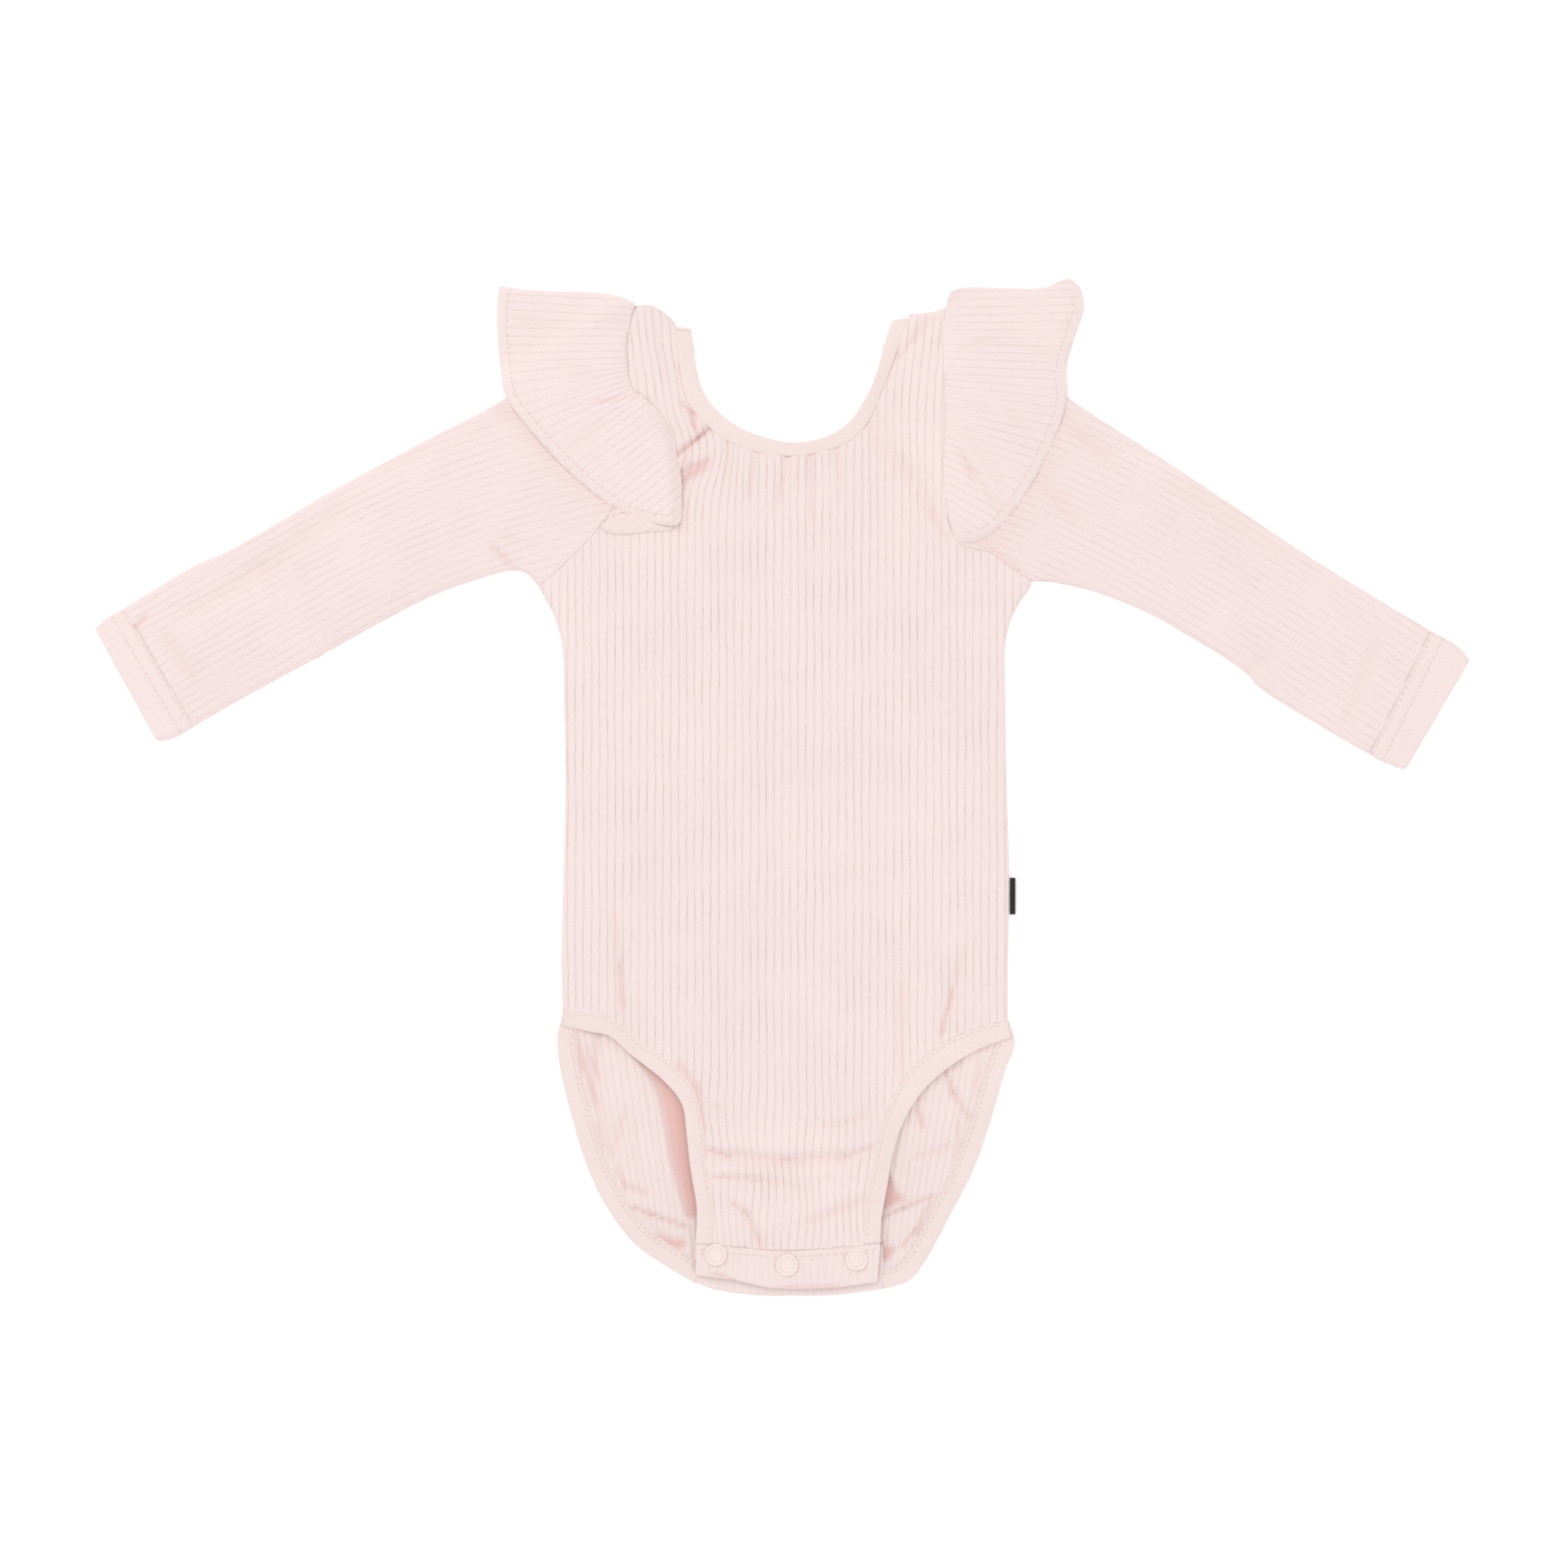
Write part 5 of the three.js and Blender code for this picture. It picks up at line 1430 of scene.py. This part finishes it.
def stitch_row_tree():
    """Lays short threads end to end along a seam line, each a little sunk at its ends."""
    made, wiring, given = tree("stitch row", [
        ("Stitch length", "NodeSocketFloat", 0.0024),
        ("Thread radius", "NodeSocketFloat", 0.00022),
        ("Spacing", "NodeSocketFloat", 0.003),
        ("Material", "NodeSocketMaterial", None),
    ])
    curve = wiring.node("GeometryNodeMeshToCurve", {"Mesh": given["Geometry"]}).outputs["Curve"]
    spread = wiring.node("GeometryNodeCurveToPoints", {"Curve": curve, "Length": given["Spacing"]},
                         mode="LENGTH").outputs
    ball = wiring.node("GeometryNodeMeshUVSphere", {"Segments": 6, "Rings": 5, "Radius": 1.0}).outputs["Mesh"]
    size = wiring.node("ShaderNodeCombineXYZ", {"X": given["Thread radius"], "Y": given["Thread radius"],
                                                "Z": wiring.maths("MULTIPLY", given["Stitch length"], 0.5)})
    thread = wiring.node("GeometryNodeTransform", {"Geometry": ball, "Scale": size.outputs["Vector"]})
    lay = wiring.node("GeometryNodeInstanceOnPoints", {
        "Points": spread["Points"], "Instance": thread.outputs["Geometry"], "Rotation": spread["Rotation"]})
    shaded = wiring.node("GeometryNodeSetShadeSmooth", {"Geometry": lay.outputs["Instances"]})
    finish_tree(wiring, given, shaded.outputs["Geometry"])
    return made


def grown(source, made_tree, values, material):
    """The plain mesh that a tree makes of an object, in place of the object's own."""
    modifier = source.modifiers.new("shape", "NODES")
    modifier.node_group = made_tree
    sockets = {item.name: item.identifier for item in made_tree.interface.items_tree
               if item.item_type == "SOCKET" and item.in_out == "INPUT"}
    for label, value in {**values, "Material": material}.items():
        modifier[sockets[label]] = value
    bpy.context.view_layer.update()
    evaluated = source.evaluated_get(bpy.context.evaluated_depsgraph_get())
    mesh = bpy.data.meshes.new_from_object(evaluated)
    source.modifiers.remove(modifier)
    old = source.data
    source.data = mesh
    mesh.name = source.name
    if old.users == 0:
        bpy.data.meshes.remove(old)
    return source


def stitch_line(lines, cloth_piece, name):
    """Seam lines laid on a piece from above, as loose edges ready for the stitch row tree."""
    mesh = cloth_piece.data
    surface = BVHTree.FromPolygons([v.co for v in mesh.vertices], [p.vertices for p in mesh.polygons])
    points, edges = [], []
    for line in lines:
        previous = None
        for x, y in line[:, :2] * TO_METRES:
            hit = surface.ray_cast((x, y, 0.05), (0, 0, -1))[0]
            if hit is None:
                previous = None
                continue
            points.append((x, y, hit.z + STITCH_PROUD))
            if previous is not None:
                edges.append((previous, len(points) - 1))
            previous = len(points) - 1
    mesh = bpy.data.meshes.new(name)
    mesh.from_pydata(points, edges, [])
    return placed(name, mesh)


def hem_rows(side):
    return [aside(even(frill_hem[side], 120), SIGN[side] * HEM_STITCH)[3:-3]]


def cuff_rows(side):
    seam = np.array([cuff_upper[side][0], cuff_lower[side][0]])
    outward = cuff_upper[side][-1] - cuff_upper[side][0]
    along_seam = (seam[1] - seam[0]) / np.linalg.norm(seam[1] - seam[0])
    outward -= along_seam * np.dot(outward, along_seam)
    outward /= np.linalg.norm(outward)
    rows = []
    for reach in CUFF_STITCHES:
        ends = seam + outward * reach + [along_seam * 1.5, -along_seam * 1.5]
        rows.append(np.linspace(ends[0], ends[1], 40))
    return rows


def front_leg_rows(side):
    return [aside(leg_seam[side], -SIGN[side] * FRONT_BAND_STITCH)[4:-4]]


def back_leg_rows(side):
    return [aside(back_edge[side], SIGN[side] * reach)[2:-2] for reach in BACK_BAND_STITCHES]


# Materials

def knit_surface_group():
    """Shared look of the knits: loops along the ribs, grooves with painted shade, painted shade in deep folds
    and slow colour change.
    """
    group = bpy.data.node_groups.new("knit surface", "ShaderNodeTree")
    face = group.interface
    for label, kind, value in (
        ("Cloth colour", "NodeSocketColor", (0.8, 0.7, 0.66, 1)),
        ("Painted groove shade", "NodeSocketColor", (0.7, 0.5, 0.45, 1)),
        ("Painted fold shade", "NodeSocketColor", (0.7, 0.4, 0.36, 1)),
        ("Rib pitch", "NodeSocketFloat", RIB_PITCH * TO_METRES),
        ("Rib strength", "NodeSocketFloat", 1.0),
        ("Loop size", "NodeSocketFloat", 0.0009),
    ):
        socket = face.new_socket(label, in_out="INPUT", socket_type=kind)
        socket.default_value = value
    for label, kind in (("Colour", "NodeSocketColor"), ("Height", "NodeSocketFloat"),
                        ("Roughness", "NodeSocketFloat")):
        face.new_socket(label, in_out="OUTPUT", socket_type=kind)
    wiring = Wiring(group)
    node, maths = wiring.node, wiring.maths
    given = node("NodeGroupInput").outputs
    uv = node("ShaderNodeUVMap", uv_map="cloth").outputs["UV"]
    split = node("ShaderNodeSeparateXYZ", {"Vector": uv}).outputs
    place = node("ShaderNodeTexCoord").outputs["Object"]
    relief = node("ShaderNodeAttribute", attribute_name="relief").outputs["Fac"]
    fold = node("ShaderNodeAttribute", attribute_name="fold").outputs["Fac"]

    # Grooves, with painted shade and a sunk relief: uneven in width, and broken in places
    uneven = wiring.noise(place, 260.0)
    across = maths("DIVIDE", split["X"], given["Rib pitch"])
    off = maths("ABSOLUTE", maths("SUBTRACT", across, maths("ROUND", across)))
    ratio = maths("DIVIDE", off, maths("MULTIPLY_ADD", uneven, 0.08, 0.035))
    groove = maths("SUBTRACT", 1.0, maths("MINIMUM", ratio, 1.0))
    groove = maths("MULTIPLY", maths("MULTIPLY", groove, relief), given["Rib strength"])
    broken = maths("MAXIMUM", maths("MULTIPLY_ADD", uneven, 3.0, -0.8), 0.25)
    groove = maths("MULTIPLY", groove, maths("MINIMUM", broken, 1.0))

    # Loops: v-shaped columns across each rib, staggered along it
    column, course = (maths("DIVIDE", split[axis], given["Loop size"]) for axis in "XY")
    saw = maths("ABSOLUTE", maths("SUBTRACT", maths("FRACT", column), 0.5))
    slanted = maths("MULTIPLY_ADD", saw, 1.3, course)
    wave, wale = (maths("SINE", maths("MULTIPLY", value, 2 * math.pi)) for value in (slanted, column))
    loops = maths("ADD", maths("MULTIPLY", wave, 0.35), maths("MULTIPLY", wale, 0.25))
    fuzz, slow = wiring.noise(place, 2400.0, 3.0), wiring.noise(place, 22.0, 3.0)

    def blend(kind, first, second, amount):
        mix = node("ShaderNodeMix", data_type="RGBA", blend_type=kind, clamp_result=True)
        for k, value in ((0, amount), (6, first), (7, second)):
            wiring.feed(mix.inputs[k], value)
        return mix.outputs[2]

    tone, grain = maths("MULTIPLY_ADD", slow, 0.09, 0.955), maths("MULTIPLY_ADD", fuzz, 0.12, 0.94)
    shade = maths("MULTIPLY", maths("MULTIPLY", tone, grain), maths("MULTIPLY_ADD", loops, 0.035, 1.0))
    tint = node("ShaderNodeCombineColor", {channel: shade for channel in ("Red", "Green", "Blue")})
    # Painted shade: the colour deepens in the rib grooves and where the fold attribute marks creases and
    # hollows
    colour = blend("MIX", given["Cloth colour"], given["Painted groove shade"], groove)
    colour = blend("MIX", colour, given["Painted fold shade"], fold)
    raised_by = maths("ADD", loops, maths("MULTIPLY", fuzz, 0.8))
    node("NodeGroupOutput", {
        "Colour": blend("MULTIPLY", colour, tint.outputs["Color"], 1.0),
        "Height": maths("SUBTRACT", raised_by, maths("MULTIPLY", groove, 1.4)),
        "Roughness": maths("MULTIPLY_ADD", fuzz, 0.1, 0.86),
    })
    return group


def principled(name, **values):
    """A material and its shader, with underscores for the spaces in its socket names."""
    material = bpy.data.materials.new(name)
    material.use_nodes = True
    shader = material.node_tree.nodes["Principled BSDF"]
    for label, value in values.items():
        shader.inputs[label.replace("_", " ")].default_value = value
    return material, shader


def linear(red, green, blue):
    """sRGB values out of 255 as linear colour."""
    def one(value):
        value /= 255
        return value / 12.92 if value <= 0.04045 else ((value + 0.055) / 1.055) ** 2.4
    return (one(red), one(green), one(blue), 1.0)


def dress(wiring, shader, colour, roughness, height, strength, distance):
    """Links that every material has: colour, roughness and a fine relief."""
    relief = wiring.node("ShaderNodeBump", {"Strength": strength, "Distance": distance, "Height": height})
    wiring.feed(shader.inputs["Base Color"], colour)
    wiring.feed(shader.inputs["Roughness"], roughness)
    wiring.feed(shader.inputs["Normal"], relief.outputs["Normal"])


def knit_material(name, group, cloth_colour, rib_strength, loop_size, bump):
    material, shader = principled(name, Sheen_Weight=0.25, Sheen_Roughness=0.5,
                                  Sheen_Tint=(1.0, 0.93, 0.9, 1), Specular_IOR_Level=0.2)
    wiring = Wiring(material.node_tree)
    knit = wiring.node("ShaderNodeGroup", node_tree=group)
    for label, value in (("Cloth colour", cloth_colour), ("Painted groove shade", GROOVE_SHADE_COLOUR),
                         ("Painted fold shade", FOLD_SHADE_COLOUR), ("Rib strength", rib_strength),
                         ("Loop size", loop_size)):
        wiring.feed(knit.inputs[label], value)
    given = knit.outputs
    dress(wiring, shader, given["Colour"], given["Roughness"], given["Height"], bump, 0.0002)
    return material


def trim_material(name, pattern, dark, light, rough, bump):
    """A small part's look: one fine pattern drives its colour, roughness and relief."""
    material, shader = principled(name)
    wiring = Wiring(material.node_tree)
    value = pattern(wiring, wiring.node("ShaderNodeTexCoord").outputs["Object"])
    ramp = wiring.node("ShaderNodeValToRGB", {"Fac": value})
    for stop, colour in zip(ramp.color_ramp.elements, (dark, light)):
        stop.color = colour
    dress(wiring, shader, ramp.outputs["Color"], wiring.maths("MULTIPLY_ADD", value, *rough), value, *bump)
    return material


def haze(wiring, place):
    return wiring.noise(place, 900.0, 4.0)


def weave(wiring, place):
    """Threads crossing at right angles."""
    threads = [wiring.node("ShaderNodeTexWave", {"Scale": 420.0, "Vector": place}, bands_direction=way)
               for way in "YX"]
    return wiring.maths("MULTIPLY", *(thread.outputs["Fac"] for thread in threads))


def twist(wiring, place):
    return wiring.noise(place, 3500.0)


# Build

# Painted shade colours: of the rib grooves, and of the creases and hollows
GROOVE_SHADE_COLOUR, FOLD_SHADE_COLOUR = linear(227, 204, 194), linear(234, 186, 179)
knit_surface = knit_surface_group()
FINISH = {
    "rib_knit": knit_material("pink rib knit", knit_surface, linear(245, 228, 226), 1.0, 0.0009, 0.4),
    "smooth_knit": knit_material("pink smooth knit", knit_surface, linear(245, 228, 225), 0.0, 0.0008, 0.5),
    "snap_plastic": trim_material("pink snap plastic", haze, linear(243, 225, 222), linear(247, 231, 228),
                                  (0.18, 0.36), (0.15, 0.0001)),
    "label_tape": trim_material("black woven tape", weave, linear(16, 16, 17), linear(44, 43, 44),
                                (0.15, 0.7), (0.5, 0.0001)),
}
sewing_thread = trim_material("pink sewing thread", twist, linear(229, 204, 197), linear(242, 222, 216),
                              (0.2, 0.6), (0.4, 0.00005))

ribs = knit_ribs_tree()
stitches = stitch_row_tree()
RIB_VALUES = {"Pitch": RIB_PITCH * TO_METRES, "Depth": RIB_DEPTH * TO_METRES,
              "Groove width": 0.5 * GROOVE_WIDTH * TO_METRES}
STITCH_VALUES = {"Stitch length": 0.0020, "Thread radius": 0.00023, "Spacing": 0.0029}

# Each piece with the node that it stands for and the slot of its finish
pieces = {}
seams = {}


def add(node, piece, slot):
    """Rib knit has its ribs sunk in; a piece of another slot keeps its mesh."""
    if slot == "rib_knit":
        grown(piece, ribs, RIB_VALUES, FINISH[slot])
    else:
        piece.data.materials.append(FINISH[slot])
    pieces[node] = (piece, slot)


def sew(node, lines, name):
    line = stitch_line(lines, pieces[node][0], name)
    seams[node] = grown(line, stitches, STITCH_VALUES, sewing_thread)


add("front_panel", front_panel(), "rib_knit")
add("back_panel", back_panel(), "rib_knit")
for side in SIDES:
    for node, make, slot in (("sleeve", sleeve, "rib_knit"), ("cuff", cuff, "rib_knit"),
                             ("frill", frill, "rib_knit"), ("leg_band_front", front_leg_band, "smooth_knit"),
                             ("leg_band_back", back_leg_band, "smooth_knit")):
        add(f"{node}_{side}", make(side), slot)
add("neck_band", neck_band(), "smooth_knit")
add("snap_band_front", snap_band(), "rib_knit")
add("crotch_flap_back", crotch_flap(), "rib_knit")
for number, place in enumerate(SNAPS, 1):
    add(f"snap_{number}", snap_cap(number, place), "snap_plastic")
add("side_label", side_label(), "label_tape")

for side in SIDES:
    sew(f"frill_{side}", hem_rows(side), f"hem_stitches_{side}")
    sew(f"cuff_{side}", cuff_rows(side), f"cuff_stitches_{side}")
    sew(f"leg_band_front_{side}", front_leg_rows(side), f"front_leg_stitches_{side}")
    sew(f"leg_band_back_{side}", back_leg_rows(side), f"back_leg_stitches_{side}")
sew("snap_band_front", [even(snap_band_top, 60)[2:-2] - [0, SNAP_BAND_STITCH]], "snap_band_stitches")

# What each piece was cut to, in metres: width, length and area
CUTS = {
    "front_panel": (0.222, 0.418, 0.0605),
    "back_panel": (0.222, 0.43, 0.0655),
    "sleeve_left": (0.162, 0.26, 0.0325),
    "sleeve_right": (0.162, 0.265, 0.0325),
    "cuff_left": (0.125, 0.018, 0.0022),
    "cuff_right": (0.125, 0.021, 0.0025),
    "frill_left": (0.084, 0.21, 0.01),
    "frill_right": (0.064, 0.21, 0.0102),
    "neck_band": (0.01, 0.31, 0.0024),
    **{f"leg_band_front_{side}": (0.01, 0.132, 0.0012) for side in SIDES},
    **{f"leg_band_back_{side}": (0.01, 0.142, None) for side in SIDES},
    "snap_band_front": (0.0165, 0.084, None),
    "crotch_flap_back": (0.04, 0.084, 0.0027),
}
RESTS = {
    "front_panel": ["back_panel"],
    "leg_band_front_left": ["back_panel"],
    "leg_band_front_right": ["back_panel"],
    "snap_band_front": ["crotch_flap_back"],
    "frill_left": ["sleeve_left"],
    "frill_right": ["sleeve_right"],
}

for node, (piece, slot) in pieces.items():
    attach(piece, "root")
    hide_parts(node)

for piece in seams.values():
    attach(piece, "root")

for node, (width, length, area) in CUTS.items():
    rests = [pieces[name][0] for name in RESTS.get(node, [])]

# Floor, light and camera

FLOOR_HALF = 3.0
FLOOR_BELOW = 0.0003


def floor():
    mesh = bpy.data.meshes.new("floor")
    corners = [(x * FLOOR_HALF, y * FLOOR_HALF, 0) for x, y in ((-1, -1), (1, -1), (1, 1), (-1, 1))]
    mesh.from_pydata(corners, [], [[0, 1, 2, 3]])
    made = placed("floor", mesh)
    made.location.z = -FLOOR_BELOW
    mesh.materials.append(principled("pale floor", Base_Color=(0.97, 0.97, 0.97, 1), Roughness=0.9,
                                     Emission_Color=(1, 1, 1, 1), Emission_Strength=0.2)[0])
    return made


def area_light(name, place, size, power):
    data = bpy.data.lights.new(name, "AREA")
    data.shape = "DISK"
    data.size = size
    data.energy = power
    lamp = placed(name, data)
    lamp.location = place
    lamp.rotation_euler = (-lamp.location).to_track_quat("-Z", "Y").to_euler()


floor()
area_light("window light", (-1.4, 1.6, 1.9), 1.8, 16)
area_light("fill light", (1.8, -1.2, 2.0), 2.2, 9)
world = bpy.data.worlds.new("studio")
world.use_nodes = True
world.node_tree.nodes["Background"].inputs["Color"].default_value = (1.0, 0.99, 0.985, 1)
world.node_tree.nodes["Background"].inputs["Strength"].default_value = 0.86
bpy.context.scene.world = world
bpy.context.scene.view_settings.view_transform = "Standard"

# The camera looks straight down; its frame is as wide as the picture
FRAME_WIDTH = 0.6955
FRAME_CENTRE = (0.0007, 0.0013)
MEAN_HEIGHT = 0.004
LENS, SENSOR = 85.0, 36.0
camera_data = bpy.data.cameras.new("camera")
camera_data.lens = LENS
camera_data.sensor_width = SENSOR
camera = placed("camera", camera_data)
camera.location = (*FRAME_CENTRE, MEAN_HEIGHT + FRAME_WIDTH * LENS / SENSOR)
bpy.context.scene.camera = camera
